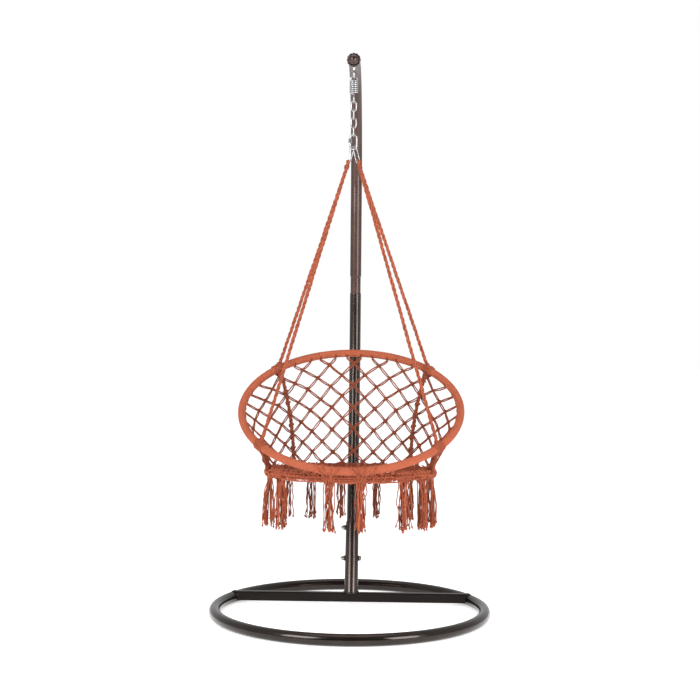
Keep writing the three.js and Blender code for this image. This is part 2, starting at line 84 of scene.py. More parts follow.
class Piece:
    """Gathers grids of vertices and writes them as one mesh with a UV map 'lay' (round, metres along) and a tone for each strand."""

    def __init__(self):
        self.v, self.q, self.quv, self.t, self.tuv, self.tone, self.n = [], [], [], [], [], [], 0

    def grid(self, V, s, closed=False, caps=True, tone=0.0):
        """V is (M, N, S, 3): M tubes of N rings of S points; s is (M, N) metres along."""
        M, N, S, _ = V.shape
        idx = self.n + np.arange(M * N * S).reshape(M, N, S)
        self.v.append(V.reshape(-1, 3))
        self.n += M * N * S
        tone = np.broadcast_to(np.asarray(tone, float).reshape(-1, 1, 1) if np.ndim(tone) else np.full((1, 1, 1), tone), (M, N, S))
        self.tone.append(tone.reshape(-1))
        i1 = np.arange(N) if closed else np.arange(N - 1)
        i2 = (i1 + 1) % N
        j1 = np.arange(S)
        j2 = (j1 + 1) % S
        a, b, c, d = idx[:, i1][:, :, j1], idx[:, i1][:, :, j2], idx[:, i2][:, :, j2], idx[:, i2][:, :, j1]
        self.q.append(np.stack([a, b, c, d], -1).reshape(-1, 4))
        s1 = s[:, i1]
        if closed:
            step = np.linalg.norm(V[:, 0].mean(1) - V[:, -1].mean(1), axis=-1)
            ext = np.concatenate([s, (s[:, -1] + step)[:, None]], 1)
            s2 = ext[:, i1 + 1]
        else:
            s2 = s[:, i2]
        u1 = np.broadcast_to((j1 / S)[None, None], a.shape)
        u2 = np.broadcast_to(((j1 + 1) / S)[None, None], a.shape)
        s1 = np.broadcast_to(s1[:, :, None], a.shape)
        s2 = np.broadcast_to(s2[:, :, None], a.shape)
        uv = np.stack([np.stack([u1, s1], -1), np.stack([u2, s1], -1), np.stack([u2, s2], -1), np.stack([u1, s2], -1)], -2)
        self.quv.append(uv.reshape(-1, 4, 2))
        if caps and not closed:
            for ring, flip in ((0, True), (N - 1, False)):
                c = V[:, ring].mean(1)
                ci = self.n + np.arange(M)
                self.v.append(c)
                self.tone.append(tone[:, 0, 0].copy())
                self.n += M
                p, q = idx[:, ring][:, j1], idx[:, ring][:, j2]
                if flip:
                    p, q = q, p
                self.t.append(np.stack([np.broadcast_to(ci[:, None], p.shape), p, q], -1).reshape(-1, 3))
                k = len(p.reshape(-1))
                self.tuv.append(np.zeros((k, 3, 2)))

    def build(self, name, material, sharp=None):
        v = np.concatenate(self.v)
        q = np.concatenate(self.q)
        quv = np.concatenate(self.quv)
        t = np.concatenate(self.t) if self.t else np.zeros((0, 3), int)
        tuv = np.concatenate(self.tuv) if self.tuv else np.zeros((0, 3, 2))
        me = bpy.data.meshes.new(name)
        me.vertices.add(len(v))
        me.vertices.foreach_set("co", v.astype(np.float32).ravel())
        nl = q.size + t.size
        me.loops.add(nl)
        me.loops.foreach_set("vertex_index", np.concatenate([q.ravel(), t.ravel()]).astype(np.int32))
        me.polygons.add(len(q) + len(t))
        starts = np.concatenate([np.arange(len(q)) * 4, q.size + np.arange(len(t)) * 3])
        me.polygons.foreach_set("loop_start", starts.astype(np.int32))
        me.update(calc_edges=True)
        uv = me.uv_layers.new(name="lay")
        uv.data.foreach_set("uv", np.concatenate([quv.reshape(-1), tuv.reshape(-1)]).astype(np.float32))
        at = me.attributes.new("tone", "FLOAT", "POINT")
        at.data.foreach_set("value", np.concatenate(self.tone).astype(np.float32))
        me.polygons.foreach_set("use_smooth", np.ones(len(me.polygons), bool))
        if sharp is not None:
            me.set_sharp_from_angle(angle=rad(sharp))
        me.validate()
        me.materials.append(material)
        ob = bpy.data.objects.new(name, me)
        bpy.context.scene.collection.objects.link(ob)
        return ob


def unit(a):
    return a / np.maximum(np.linalg.norm(a, axis=-1, keepdims=True), 1e-12)


def frames(P, closed=False, first=None):
    T = unit(np.roll(P, -1, 1) - np.roll(P, 1, 1)) if closed else unit(np.gradient(P, axis=1))
    N = np.empty_like(P)
    if first is None:
        a = np.where(np.abs(T[:, 0, 2:3]) < 0.9, vec(0, 0, 1), vec(1, 0, 0))
    else:
        a = np.broadcast_to(first, T[:, 0].shape)
    n = unit(a - (a * T[:, 0]).sum(-1, keepdims=True) * T[:, 0])
    N[:, 0] = n
    for i in range(1, P.shape[1]):
        n = unit(n - (n * T[:, i]).sum(-1, keepdims=True) * T[:, i])
        N[:, i] = n
    return T, N, np.cross(T, N)


def along(P):
    return np.concatenate([np.zeros((P.shape[0], 1)), np.cumsum(np.linalg.norm(np.diff(P, axis=1), axis=-1), 1)], 1)


def sweep(piece, P, r, sides=8, closed=False, caps=True, tone=0.0, first=None, section=None):
    """Round tubes along P (M, N, 3) or (N, 3). r is a number or (M, N). section(theta, s) scales the radius."""
    P = np.asarray(P, float)
    if P.ndim == 2:
        P = P[None]
    T, N, B = frames(P, closed, first)
    s = along(P)
    th = TAU * np.arange(sides) / sides
    R = np.broadcast_to(np.asarray(r, float), s.shape)[:, :, None] * np.ones(sides)
    if section is not None:
        R = R * section(th[None, None], s[:, :, None])
    V = P[:, :, None] + R[..., None] * (np.cos(th)[None, None, :, None] * N[:, :, None] + np.sin(th)[None, None, :, None] * B[:, :, None])
    piece.grid(V, s, closed, caps, tone)


def smooth_path(points, step, closed=False):
    """Catmull-Rom through points, then even steps."""
    p = np.asarray(points, float)
    if closed:
        q = np.concatenate([p[-1:], p, p[:2]])
    else:
        q = np.concatenate([2 * p[:1] - p[1:2], p, 2 * p[-1:] - p[-2:-1]])
    out = []
    for i in range(1, len(q) - 2):
        a, b, c, d = q[i - 1], q[i], q[i + 1], q[i + 2]
        t = np.linspace(0, 1, 24, endpoint=False)[:, None]
        out.append(0.5 * (2 * b + (c - a) * t + (2 * a - 5 * b + 4 * c - d) * t ** 2 + (3 * b - a - 3 * c + d) * t ** 3))
    out = np.concatenate(out + ([] if closed else [q[-2:-1]]))
    return even(out, step, closed)


def even(p, step, closed=False):
    if closed:
        p = np.concatenate([p, p[:1]])
    s = np.concatenate([[0], np.cumsum(np.linalg.norm(np.diff(p, axis=0), axis=1))])
    n = max(4, int(round(s[-1] / step)) + 1)
    t = np.linspace(0, s[-1], n)
    q = np.stack([np.interp(t, s, p[:, k]) for k in range(3)], 1)
    return q[:-1] if closed else q


def loft(piece, rings, closed=False, caps=True):
    """rings is (N, S, 3), counter-clockwise seen from the last ring."""
    V = np.asarray(rings, float)[None]
    s = along(V.mean(2))
    s = s + np.linspace(0, 1e-6, s.shape[1])
    piece.grid(V, s, closed, caps)


def basis(axis):
    z = unit(vec(*axis))
    x = unit(np.cross(z, vec(1, 0, 0) if abs(z[0]) < 0.9 else vec(0, 1, 0)))
    return x, np.cross(z, x), z


def turned(piece, centre, axis, profile, sides=48, shape=None, closed=False):
    """A body turned round an axis: profile is [(radius, height)]; shape(theta, radius, height) changes the radius."""
    x, y, z = basis(axis)
    th = TAU * np.arange(sides) / sides
    rings = []
    for r, h in profile:
        rr = np.full(sides, float(r)) if shape is None else shape(th, r, h)
        rings.append(np.asarray(centre) + rr[:, None] * (np.cos(th)[:, None] * x + np.sin(th)[:, None] * y) + h * z)
    loft(piece, rings, closed=closed, caps=not closed)


def hexed(across):
    """Limits a turned section to a hexagon, so a chamfered profile gives a hex head."""
    def f(th, r, h):
        k = np.abs((th + TAU / 12) % (TAU / 6) - TAU / 12)
        return np.minimum(r, across / 2 / np.cos(k))
    return f


def finish_piece(ob, body, *nodes, slot=None):
    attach(ob, body)
    if nodes:
        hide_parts(*nodes)
    return ob


# ------------------------------------------------------------------ materials
def new_material(name):
    m = bpy.data.materials.new(name)
    m.use_nodes = True
    nt = m.node_tree
    nt.nodes.clear()
    out = nt.nodes.new("ShaderNodeOutputMaterial")
    b = nt.nodes.new("ShaderNodeBsdfPrincipled")
    nt.links.new(b.outputs[0], out.inputs[0])

    def node(kind, **kw):
        n = nt.nodes.new(kind)
        for k, v in kw.items():
            if k.startswith("in_"):
                key = k[3:]
                n.inputs[int(key) if key.isdigit() else key].default_value = v
            else:
                setattr(n, k, v)
        return n
    return m, nt, b, node, nt.links.new


def ramp(node, stops):
    n = node("ShaderNodeValToRGB")
    e = n.color_ramp.elements
    while len(e) > 1:
        e.remove(e[-1])
    e[0].position, e[0].color = stops[0][0], (*stops[0][1], 1)
    for p, c in stops[1:]:
        k = e.new(p)
        k.color = (*c, 1)
    return n


def bronze_material(name, tint=1.0, rough=0.24, red=1.0, coat=0.35):
    m, nt, b, node, link = new_material(name)
    tc = node("ShaderNodeTexCoord")
    big = node("ShaderNodeTexNoise", in_Scale=7.0, in_Detail=4.0, in_Roughness=0.6)
    link(tc.outputs["Object"], big.inputs["Vector"])
    col = ramp(node, [(0.3, (0.040 * tint * red, 0.030 * tint, 0.0255 * tint)), (0.55, (0.058 * tint * red, 0.043 * tint, 0.036 * tint)), (0.75, (0.080 * tint * red, 0.057 * tint, 0.046 * tint))])
    link(big.outputs["Fac"], col.inputs["Fac"])
    link(col.outputs["Color"], b.inputs["Base Color"])
    fine = node("ShaderNodeTexNoise", in_Scale=260.0, in_Detail=3.0, in_Roughness=0.55)
    link(tc.outputs["Object"], fine.inputs["Vector"])
    cells = node("ShaderNodeTexVoronoi", feature="SMOOTH_F1", in_Scale=210.0, in_Smoothness=0.8)
    link(tc.outputs["Object"], cells.inputs["Vector"])
    add = node("ShaderNodeMath", operation="MULTIPLY_ADD", in_1=0.6)
    link(cells.outputs["Distance"], add.inputs[0])
    link(fine.outputs["Fac"], add.inputs[2])
    bump = node("ShaderNodeBump", in_Strength=0.35, in_Distance=0.0004)
    link(add.outputs[0], bump.inputs["Height"])
    link(bump.outputs["Normal"], b.inputs["Normal"])
    r = node("ShaderNodeMapRange")
    r.inputs["To Min"].default_value, r.inputs["To Max"].default_value = rough - 0.06, rough + 0.10
    link(big.outputs["Fac"], r.inputs["Value"])
    link(r.outputs["Result"], b.inputs["Roughness"])
    b.inputs["Metallic"].default_value = 0.82
    b.inputs["Coat Weight"].default_value = coat
    b.inputs["Coat Roughness"].default_value = 0.07
    return m


def zinc_material(name, value=0.80, rough=0.24, blue=1.02):
    m, nt, b, node, link = new_material(name)
    tc = node("ShaderNodeTexCoord")
    n = node("ShaderNodeTexNoise", in_Scale=120.0, in_Detail=5.0, in_Roughness=0.65)
    link(tc.outputs["Object"], n.inputs["Vector"])
    lo = value * 0.86
    col = ramp(node, [(0.3, (lo, lo * 1.0, lo * blue)), (0.7, (value, value, value * blue))])
    link(n.outputs["Fac"], col.inputs["Fac"])
    link(col.outputs["Color"], b.inputs["Base Color"])
    r = node("ShaderNodeMapRange")
    r.inputs["To Min"].default_value, r.inputs["To Max"].default_value = rough - 0.07, rough + 0.14
    link(n.outputs["Fac"], r.inputs["Value"])
    link(r.outputs["Result"], b.inputs["Roughness"])
    s = node("ShaderNodeTexNoise", in_Scale=900.0, in_Detail=2.0)
    link(tc.outputs["Object"], s.inputs["Vector"])
    bump = node("ShaderNodeBump", in_Strength=0.12, in_Distance=0.0002)
    link(s.outputs["Fac"], bump.inputs["Height"])
    link(bump.outputs["Normal"], b.inputs["Normal"])
    b.inputs["Metallic"].default_value = 1.0
    return m


# the cord's colour in light, half shade and deep shade; the ramp between them paints shade into the yarn grooves and
# light onto the crowns
LIT = (0.480, 0.134, 0.070)
HALF_SHADE = (0.350, 0.080, 0.039)
DEEP_SHADE = (0.120, 0.020, 0.009)


def cord_material(name, lines, pitch, groove_shade=0.55, fuzz=1.0, light=1.0, skew=1.0, bump_mm=0.5):
    """Twisted yarn: lines is how many yarns show round the section, pitch is the length of one yarn's turn in metres."""
    m, nt, b, node, link = new_material(name)
    uv = node("ShaderNodeUVMap", uv_map="lay")
    sep = node("ShaderNodeSeparateXYZ")
    link(uv.outputs["UV"], sep.inputs[0])
    a = node("ShaderNodeMath", operation="MULTIPLY", in_1=float(lines) * skew * TAU)
    link(sep.outputs["X"], a.inputs[0])
    c = node("ShaderNodeMath", operation="MULTIPLY_ADD", in_1=TAU * lines / pitch)
    link(sep.outputs["Y"], c.inputs[0])
    link(a.outputs[0], c.inputs[2])
    tc = node("ShaderNodeTexCoord")
    wob = node("ShaderNodeTexNoise", in_Scale=90.0, in_Detail=2.0)
    link(tc.outputs["Object"], wob.inputs["Vector"])
    w = node("ShaderNodeMath", operation="MULTIPLY_ADD", in_1=2.2)
    link(wob.outputs["Fac"], w.inputs[0])
    link(c.outputs[0], w.inputs[2])
    sn = node("ShaderNodeMath", operation="SINE")
    link(w.outputs[0], sn.inputs[0])
    yarn = node("ShaderNodeMapRange")
    yarn.inputs["From Min"].default_value, yarn.inputs["From Max"].default_value = -1.0, 0.75
    link(sn.outputs[0], yarn.inputs["Value"])
    fibre = node("ShaderNodeTexNoise", in_Scale=1300.0, in_Detail=3.0, in_Roughness=0.7)
    link(tc.outputs["Object"], fibre.inputs["Vector"])
    cloud = node("ShaderNodeTexNoise", in_Scale=22.0, in_Detail=3.0, in_Roughness=0.55)
    link(tc.outputs["Object"], cloud.inputs["Vector"])
    # colour: painted shade in the grooves up to painted light on the crowns, then fibre, cloud and each strand's own
    # tone, which in places is set darker or lighter as painted shade and highlight
    grad = ramp(node, [(0.0, tuple(x * light for x in (DEEP_SHADE[0] + (HALF_SHADE[0] - DEEP_SHADE[0]) * (1 - groove_shade), DEEP_SHADE[1] + (HALF_SHADE[1] - DEEP_SHADE[1]) * (1 - groove_shade), DEEP_SHADE[2] + (HALF_SHADE[2] - DEEP_SHADE[2]) * (1 - groove_shade)))),
                       (0.45, tuple(x * light for x in HALF_SHADE)), (1.0, tuple(x * light for x in LIT))])
    mixf = node("ShaderNodeMath", operation="MULTIPLY_ADD", in_1=0.55)
    link(fibre.outputs["Fac"], mixf.inputs[0])
    half = node("ShaderNodeMath", operation="MULTIPLY", in_1=0.72)
    link(yarn.outputs["Result"], half.inputs[0])
    link(half.outputs[0], mixf.inputs[2])
    link(mixf.outputs[0], grad.inputs["Fac"])
    tone = node("ShaderNodeAttribute", attribute_name="tone")
    t1 = node("ShaderNodeMath", operation="MULTIPLY_ADD", in_1=0.34, in_2=0.80)
    link(cloud.outputs["Fac"], t1.inputs[0])
    t2 = node("ShaderNodeMath", operation="ADD")
    link(t1.outputs[0], t2.inputs[0])
    link(tone.outputs["Fac"], t2.inputs[1])
    mul = node("ShaderNodeVectorMath", operation="SCALE")
    link(grad.outputs["Color"], mul.inputs[0])
    link(t2.outputs[0], mul.inputs["Scale"])
    link(mul.outputs[0], b.inputs["Base Color"])
    h = node("ShaderNodeMath", operation="MULTIPLY_ADD", in_1=0.35 * fuzz)
    link(fibre.outputs["Fac"], h.inputs[0])
    link(yarn.outputs["Result"], h.inputs[2])
    bump = node("ShaderNodeBump", in_Strength=0.8, in_Distance=bump_mm * mm)
    link(h.outputs[0], bump.inputs["Height"])
    link(bump.outputs["Normal"], b.inputs["Normal"])
    rr = node("ShaderNodeMapRange")
    rr.inputs["To Min"].default_value, rr.inputs["To Max"].default_value = 0.78, 0.95
    link(fibre.outputs["Fac"], rr.inputs["Value"])
    link(rr.outputs["Result"], b.inputs["Roughness"])
    b.inputs["Sheen Weight"].default_value = 0.06
    b.inputs["Sheen Roughness"].default_value = 0.45
    b.inputs["Sheen Tint"].default_value = (1.0, 0.60, 0.42, 1)
    b.inputs["Specular IOR Level"].default_value = 0.12
    return m


# the stand's one powder coat in copies whose tint sets how bright each part looks: painted shade in the darker base
# ring (0.50) and crossbar (0.20) copies, painted light in the lighter pole, upper pole and finial copies
BRONZE = bronze_material("bronze_powder_coat", tint=0.50, rough=0.17, coat=0.30)
BRONZE_BAR_SHADED = bronze_material("bronze_powder_coat_bar_painted_shade", tint=0.20, rough=0.30, coat=0.06)
BRONZE_POLE = bronze_material("bronze_powder_coat_pole", tint=0.80, rough=0.25)
BRONZE_UPPER = bronze_material("bronze_powder_coat_upper", tint=1.05, rough=0.46, red=1.30)
BRONZE_CAST = bronze_material("bronze_finial", tint=0.85, rough=0.30, red=1.25)
ZINC = zinc_material("zinc_fasteners", value=0.62)
ZINC_BRIGHT = zinc_material("zinc_suspension", value=0.47, rough=0.30)
STEEL = zinc_material("raw_steel_rings", value=0.45, rough=0.42)
# one cord colour in copies scaled by light: the lower values paint shade (0.70 for the back and seat nets, 0.58 for the
# rear tassels), the higher ones paint light (0.98 for the front lashing and the seat ring knots)
WOUND = cord_material("wound_cord", lines=14, pitch=14 * 0.0042, groove_shade=0.35, bump_mm=0.25)
ROPE = cord_material("twisted_rope", lines=5, pitch=0.034, groove_shade=0.8, light=0.90, bump_mm=0.6)
NET = cord_material("knotted_net", lines=3, pitch=0.018, groove_shade=0.6, light=0.70, bump_mm=0.35)
NET_LIT = cord_material("knotted_front_painted_light", lines=3, pitch=0.018, groove_shade=0.55, light=0.98, bump_mm=0.35)
STRAND = cord_material("tassel_strands", lines=3, pitch=0.017, groove_shade=0.6, light=0.92, bump_mm=0.35)
STRAND_SHADED = cord_material("tassel_strands_rear_painted_shade", lines=3, pitch=0.017, groove_shade=0.55, light=0.58, bump_mm=0.35)

# ------------------------------------------------------------------ the frame's sizes, in metres
R_TUBE = 21.2 * mm
BASE_R = 484 * mm
BAR_Y, BAR_LOW, BAR_TOP = 207.5 * mm, 10 * mm, 45 * mm
LEAN = rad(20)
AX = vec(0, math.sin(LEAN), math.cos(LEAN))
SOCKET_FOOT = vec(0, BAR_Y, BAR_TOP)


def on_axis(s):
    return SOCKET_FOOT + AX * s * mm


def socket_r(s):
    return (26 + (24.2 - 26) * s / 265) * mm


# ------------------------------------------------------------------ stand: base ring and crossbar
def base_ring():
    p = Piece()
    a = TAU * np.arange(216) / 216
    sweep(p, np.stack([BASE_R * np.cos(a), BASE_R * np.sin(a), np.full_like(a, R_TUBE)], 1), R_TUBE, 48, closed=True)
    # the ground weld where the bent ring closes, a low band round the tube at the rear
    a = rad(90) + np.linspace(-0.0035, 0.0035, 9)
    r = R_TUBE + 0.35 * mm * np.sin(np.linspace(0, math.pi, 9))
    sweep(p, np.stack([BASE_R * np.cos(a), BASE_R * np.sin(a), np.full_like(a, R_TUBE)], 1), r[None] - 0.05 * mm, 48)
    finish_piece(p.build("base_ring_tube", BRONZE), "stand", "base_ring", slot="bronze_powder_coat")


def ring_inner_x(y, z):
    """x of the base ring's inner wall at y, z."""
    dz = np.clip((z - R_TUBE) / R_TUBE, -1, 1)
    rr = BASE_R - R_TUBE * np.sqrt(1 - dz ** 2)
    return np.sqrt(rr ** 2 - y ** 2)


def rounded_rect(a, b, r, n=7):
    pts = []
    for cx, cy, t0 in ((a - r, -b + r, -90), (a - r, b - r, 0), (-a + r, b - r, 90), (-a + r, -b + r, 180)):
        for k in range(n):
            t = rad(t0 + 90 * k / (n - 1))
            pts.append((cx + r * math.cos(t), cy + r * math.sin(t)))
    return np.array(pts)


def crossbar():
    p = Piece()
    sec = rounded_rect(12.5 * mm, 17.5 * mm, 3.2 * mm)
    dense = []
    for i in range(len(sec)):
        q = sec[(i + 1) % len(sec)]
        k = max(1, int(np.linalg.norm(q - sec[i]) / (2 * mm)))
        for t in range(k):
            dense.append(sec[i] + (q - sec[i]) * t / k)
    sec = np.array(dense)
    y, z = BAR_Y + sec[:, 0], (BAR_LOW + BAR_TOP) / 2 + sec[:, 1]
    xe = ring_inner_x(y, z)
    rings = []
    for f in np.concatenate([[-1], np.linspace(-0.97, 0.97, 25), [1]]):
        x = f * xe
        rings.append(np.stack([x, y, z], 1))
    loft(p, rings)
    finish_piece(p.build("crossbar_tube", BRONZE_BAR_SHADED, sharp=40), "stand", "crossbar", slot="bronze_powder_coat")
    w = Piece()
    for sg in (-1, 1):
        n = len(sec)
        k = np.arange(n)
        ripple = 1 + 0.16 * np.sin(k * 1.9) + 0.06 * np.sin(k * 0.7 + sg)
        path = np.stack([sg * (xe - 0.2 * mm), BAR_Y + sec[:, 0] * 1.0, z], 1)
        sweep(w, path[::sg], (1.3 * mm * ripple)[None], 10, closed=True)
    # the socket's fillet weld round its foot on the crossbar
    th = TAU * np.arange(96) / 96
    x = 26.4 * mm * np.cos(th)
    yy = 26.4 * mm / math.cos(LEAN) * np.sin(th)
    path = np.stack([x, BAR_Y + yy * 0.995, np.full_like(th, BAR_TOP + 1.2 * mm)], 1)
    sweep(w, path, (2.6 * mm * (1 + 0.15 * np.sin(th * 38)))[None], 10, closed=True)
    finish_piece(w.build("weld_beads", BRONZE), "stand", slot="bronze_powder_coat")


# ------------------------------------------------------------------ stand: socket and poles
def socket():
    p = Piece()
    sides = 72
    th = TAU * np.arange(sides) / sides
    x = vec(1, 0, 0)
    y = np.cross(AX, x)

    def ring(r, s):
        return on_axis(s / mm) + r * (np.cos(th)[:, None] * x + np.sin(th)[:, None] * y)
    foot = []
    for t in th:          # the foot is cut level, on the crossbar's top
        d = 26 * mm * (math.cos(t) * x + math.sin(t) * y)
        s = -(d[2] - 0.4 * mm) / AX[2]
        foot.append(SOCKET_FOOT + d + AX * s)
    foot = np.array(foot)
    rings = [foot]
    for s in (14, 40, 80, 120, 160, 200, 240, 258):
        rings.append(ring(socket_r(s), s * mm))
    rings += [ring(socket_r(263.5), 263.5 * mm), ring(socket_r(265) - 0.5 * mm, 264.7 * mm), ring(socket_r(265) - 1.2 * mm, 265 * mm),
              ring(22.9 * mm, 265 * mm), ring(22.3 * mm, 264.2 * mm), ring(22.1 * mm, 262 * mm), ring(22.1 * mm, 200 * mm)]
    loft(p, rings)
    finish_piece(p.build("socket_sleeve", BRONZE_POLE, sharp=50), "stand", "pole_socket", slot="bronze_powder_coat")


FOOT_Y500 = BAR_Y + (500 * mm - BAR_TOP) * math.tan(LEAN)
LEAN_R = 1808 * mm
BEND_TOP = 500 * mm + LEAN_R * math.sin(LEAN)
POLE_Y = FOOT_Y500 + LEAN_R * (1 - math.cos(LEAN))


def pole_y(z):
    z = np.asarray(z, float)
    mid = FOOT_Y500 - LEAN_R * math.cos(LEAN) + np.sqrt(np.maximum(0, LEAN_R ** 2 - (BEND_TOP - z) ** 2))
    return np.where(z < 0.5, BAR_Y + (z - BAR_TOP) * math.tan(LEAN), np.where(z < BEND_TOP, mid, POLE_Y))


def poles():
    p = Piece()
    z = np.concatenate([np.linspace(on_axis(14)[2], 0.5, 24), np.linspace(0.5, 1.1462, 64)[1:], [1.1478, 1.1490, 1.1497, 1.15, 1.15]])
    r = np.full_like(z, R_TUBE)
    r[-5:] = np.array([21.15, 20.9, 20.4, 19.9, 19.5]) * mm
    z[-1] += 1e-5
    P = np.stack([0 * z, pole_y(z), z], 1)
    sweep(p, P, r[None], 48, first=vec(1, 0, 0))
    finish_piece(p.build("lower_pole_tube", BRONZE_POLE, sharp=50), "stand", "lower_pole", slot="bronze_powder_coat")
    q = Piece()
    crook, tip_z, tip_y = 430 * mm, 1.978, -0.035
    cz = tip_z - crook
    zs = np.concatenate([np.linspace(1.142, 1.2085, 12), np.linspace(1.2105, 1.2175, 8), np.linspace(1.225, cz, 16)])
    rs = np.interp(zs, [1.142, 1.2100, 1.2125, 1.2150, 1.2168], np.array([19.4, 19.4, 19.9, 20.8, 21.2]) * mm)
    a = np.linspace(0, math.pi / 2, 72)[1:]
    arc = np.stack([0 * a, POLE_Y - crook + crook * np.cos(a), cz + crook * np.sin(a)], 1)
    tail = np.stack([np.zeros(6), np.linspace(POLE_Y - crook, tip_y, 7)[1:], np.full(6, tip_z)], 1)
    P = np.concatenate([np.stack([0 * zs, np.full_like(zs, POLE_Y), zs], 1), arc, tail])
    r = np.concatenate([rs, np.full(len(arc) + 6, R_TUBE)])
    sweep(q, P, r[None], 48, first=vec(1, 0, 0))
    finish_piece(q.build("upper_pole_tube", BRONZE_UPPER, sharp=50), "stand", "upper_pole", slot="bronze_powder_coat")


def bolts():
    for label, s in (("lower", 127), ("upper", 243)):
        c = on_axis(s)
        face = socket_r(s) + 4.5 * mm
        af = 16 * mm
        hx = hexed(af)
        R = af / 2 / math.cos(TAU / 12)
        b = Piece()
        out = face + 0.3 * mm
        # flanged hex head, chamfered
        turned(b, c + vec(out, 0, 0), (1, 0, 0), [(0.2 * mm, 0), (8.6 * mm, 0), (8.9 * mm, 0.4 * mm), (8.7 * mm, 1.0 * mm)], 60)
        turned(b, c + vec(out, 0, 0), (1, 0, 0), [(0.2 * mm, 0.6 * mm), (R, 0.6 * mm), (R, 5.0 * mm), (R - 0.5 * mm, 5.7 * mm), (R - 1.2 * mm, 6.3 * mm), (R - 2.2 * mm, 6.4 * mm), (0.2 * mm, 6.2 * mm)], 60, shape=hx)
        # threaded shank
        n = 220
        x = np.linspace(-(face + 0.3 * mm + 8 * mm + 4.5 * mm), -face + 1 * mm, n)
        th = TAU * np.arange(24) / 24
        tri = np.abs(((x[:, None] / (1.5 * mm) + th[None] / TAU) % 1) - 0.5) * 2
        rr = (4.35 + 0.62 * tri) * mm
        rr[0] = 3.2 * mm
        rr[1] = np.minimum(rr[1], 3.9 * mm)
        ring = np.stack([np.broadcast_to(x[:, None], rr.shape), c[1] + rr * np.cos(th), c[2] + rr * np.sin(th)], -1)
        loft(b, ring)
        finish_piece(b.build("bolt_" + label, ZINC, sharp=30), "stand", "socket_bolt_" + label, slot="zinc_fasteners")
        u = Piece()
        turned(u, c + vec(-out, 0, 0), (-1, 0, 0), [(4.9 * mm, 0.0), (R - 0.9 * mm, 0.0), (R, 0.7 * mm), (R, 7.3 * mm), (R - 0.9 * mm, 8.0 * mm), (5.6 * mm, 8.0 * mm), (5.0 * mm, 7.4 * mm), (4.9 * mm, 4 * mm)], 60, shape=hx, closed=True)
        finish_piece(u.build("nut_" + label, ZINC, sharp=30), "stand", "socket_nut_" + label, slot="zinc_fasteners")
        for side, sg in (("left", -1), ("right", 1)):
            name = f"saddle_washer_{label}_{side}"
            w = Piece()
            th = TAU * np.arange(64) / 64
            # the inner face follows the socket's round side
            inner = []
            for t in th:
                yy = 9.9 * mm * math.cos(t)
                k = socket_r(s) + 0.35 * mm
                inner.append((sg * math.sqrt(max(0, k ** 2 - yy ** 2)), yy, 9.9 * mm * math.sin(t)))
            inner = np.array(inner)
            e2 = np.cross(AX, vec(1, 0, 0))
            e2 = -e2 if e2[1] < 0 else e2

            def place(q, r_out=None):
                return c + q[:, :1] * vec(1, 0, 0) + q[:, 1:2] * e2 + q[:, 2:3] * AX
            r2 = inner.copy()
            r2[:, 0] = sg * (face - 1.0 * mm)
            r3 = r2.copy()
            r3[:, 1:] *= 0.96
            r3[:, 0] = sg * (face - 0.25 * mm)
            r4 = r2.copy()
            r4[:, 1:] *= 0.88
            r4[:, 0] = sg * face
            seq = [place(inner), place(r2), place(r3), place(r4)]
            if sg > 0:
                seq = [x[::1] for x in seq]
            else:
                seq = [x[::-1] for x in seq]
            loft(w, seq)
            finish_piece(w.build(name.replace("saddle_washer", "saddle"), BRONZE_POLE, sharp=40), "stand", name, slot="bronze_powder_coat")


def finial():
    z, y0 = 1.978, -0.035
    p = Piece()

    def lobes(th, r, h):
        k = r / (24.9 * mm)
        return r - 1.9 * mm * k * (1 - np.abs(np.cos(6 * th)) ** 0.7)
    prof = [(18.6, -24), (18.6, -0.4), (20.2, 0.0), (22.8, 0.3), (24.2, 1.6), (24.8, 3.6), (24.9, 6.0), (24.8, 8.4), (24.2, 10.4), (22.8, 11.7), (20.0, 12.0), (17.5, 12.0), (16.8, 11.2), (0.2, 11.2)]
    turned(p, vec(0, y0 - 0.3 * mm, z), (0, -1, 0), [(r * mm, h * mm) for r, h in prof], 144, shape=lambda th, r, h: lobes(th, r, h) if r > 19.5 * mm else np.full_like(th, r))
    finish_piece(p.build("finial_petals", BRONZE_CAST, sharp=60), "stand", "finial_collar", slot="bronze_powder_coat")
    q = Piece()
    cy = -0.035 - 0.3 * mm - 12 * mm - 0.3 * mm - 13 * mm
    a = np.linspace(math.acos(13 / 17), math.pi, 40)
    prof = [(0.2 * mm, -13 * mm), (9.8 * mm, -13 * mm)] + [(max(0.15 * mm, 17 * mm * math.sin(t)), -17 * mm * math.cos(t)) for t in a]
    turned(q, vec(0, cy, z), (0, -1, 0), prof, 72)
    finish_piece(q.build("finial_knob", BRONZE_CAST, sharp=60), "stand", "finial_ball", slot="bronze_powder_coat")


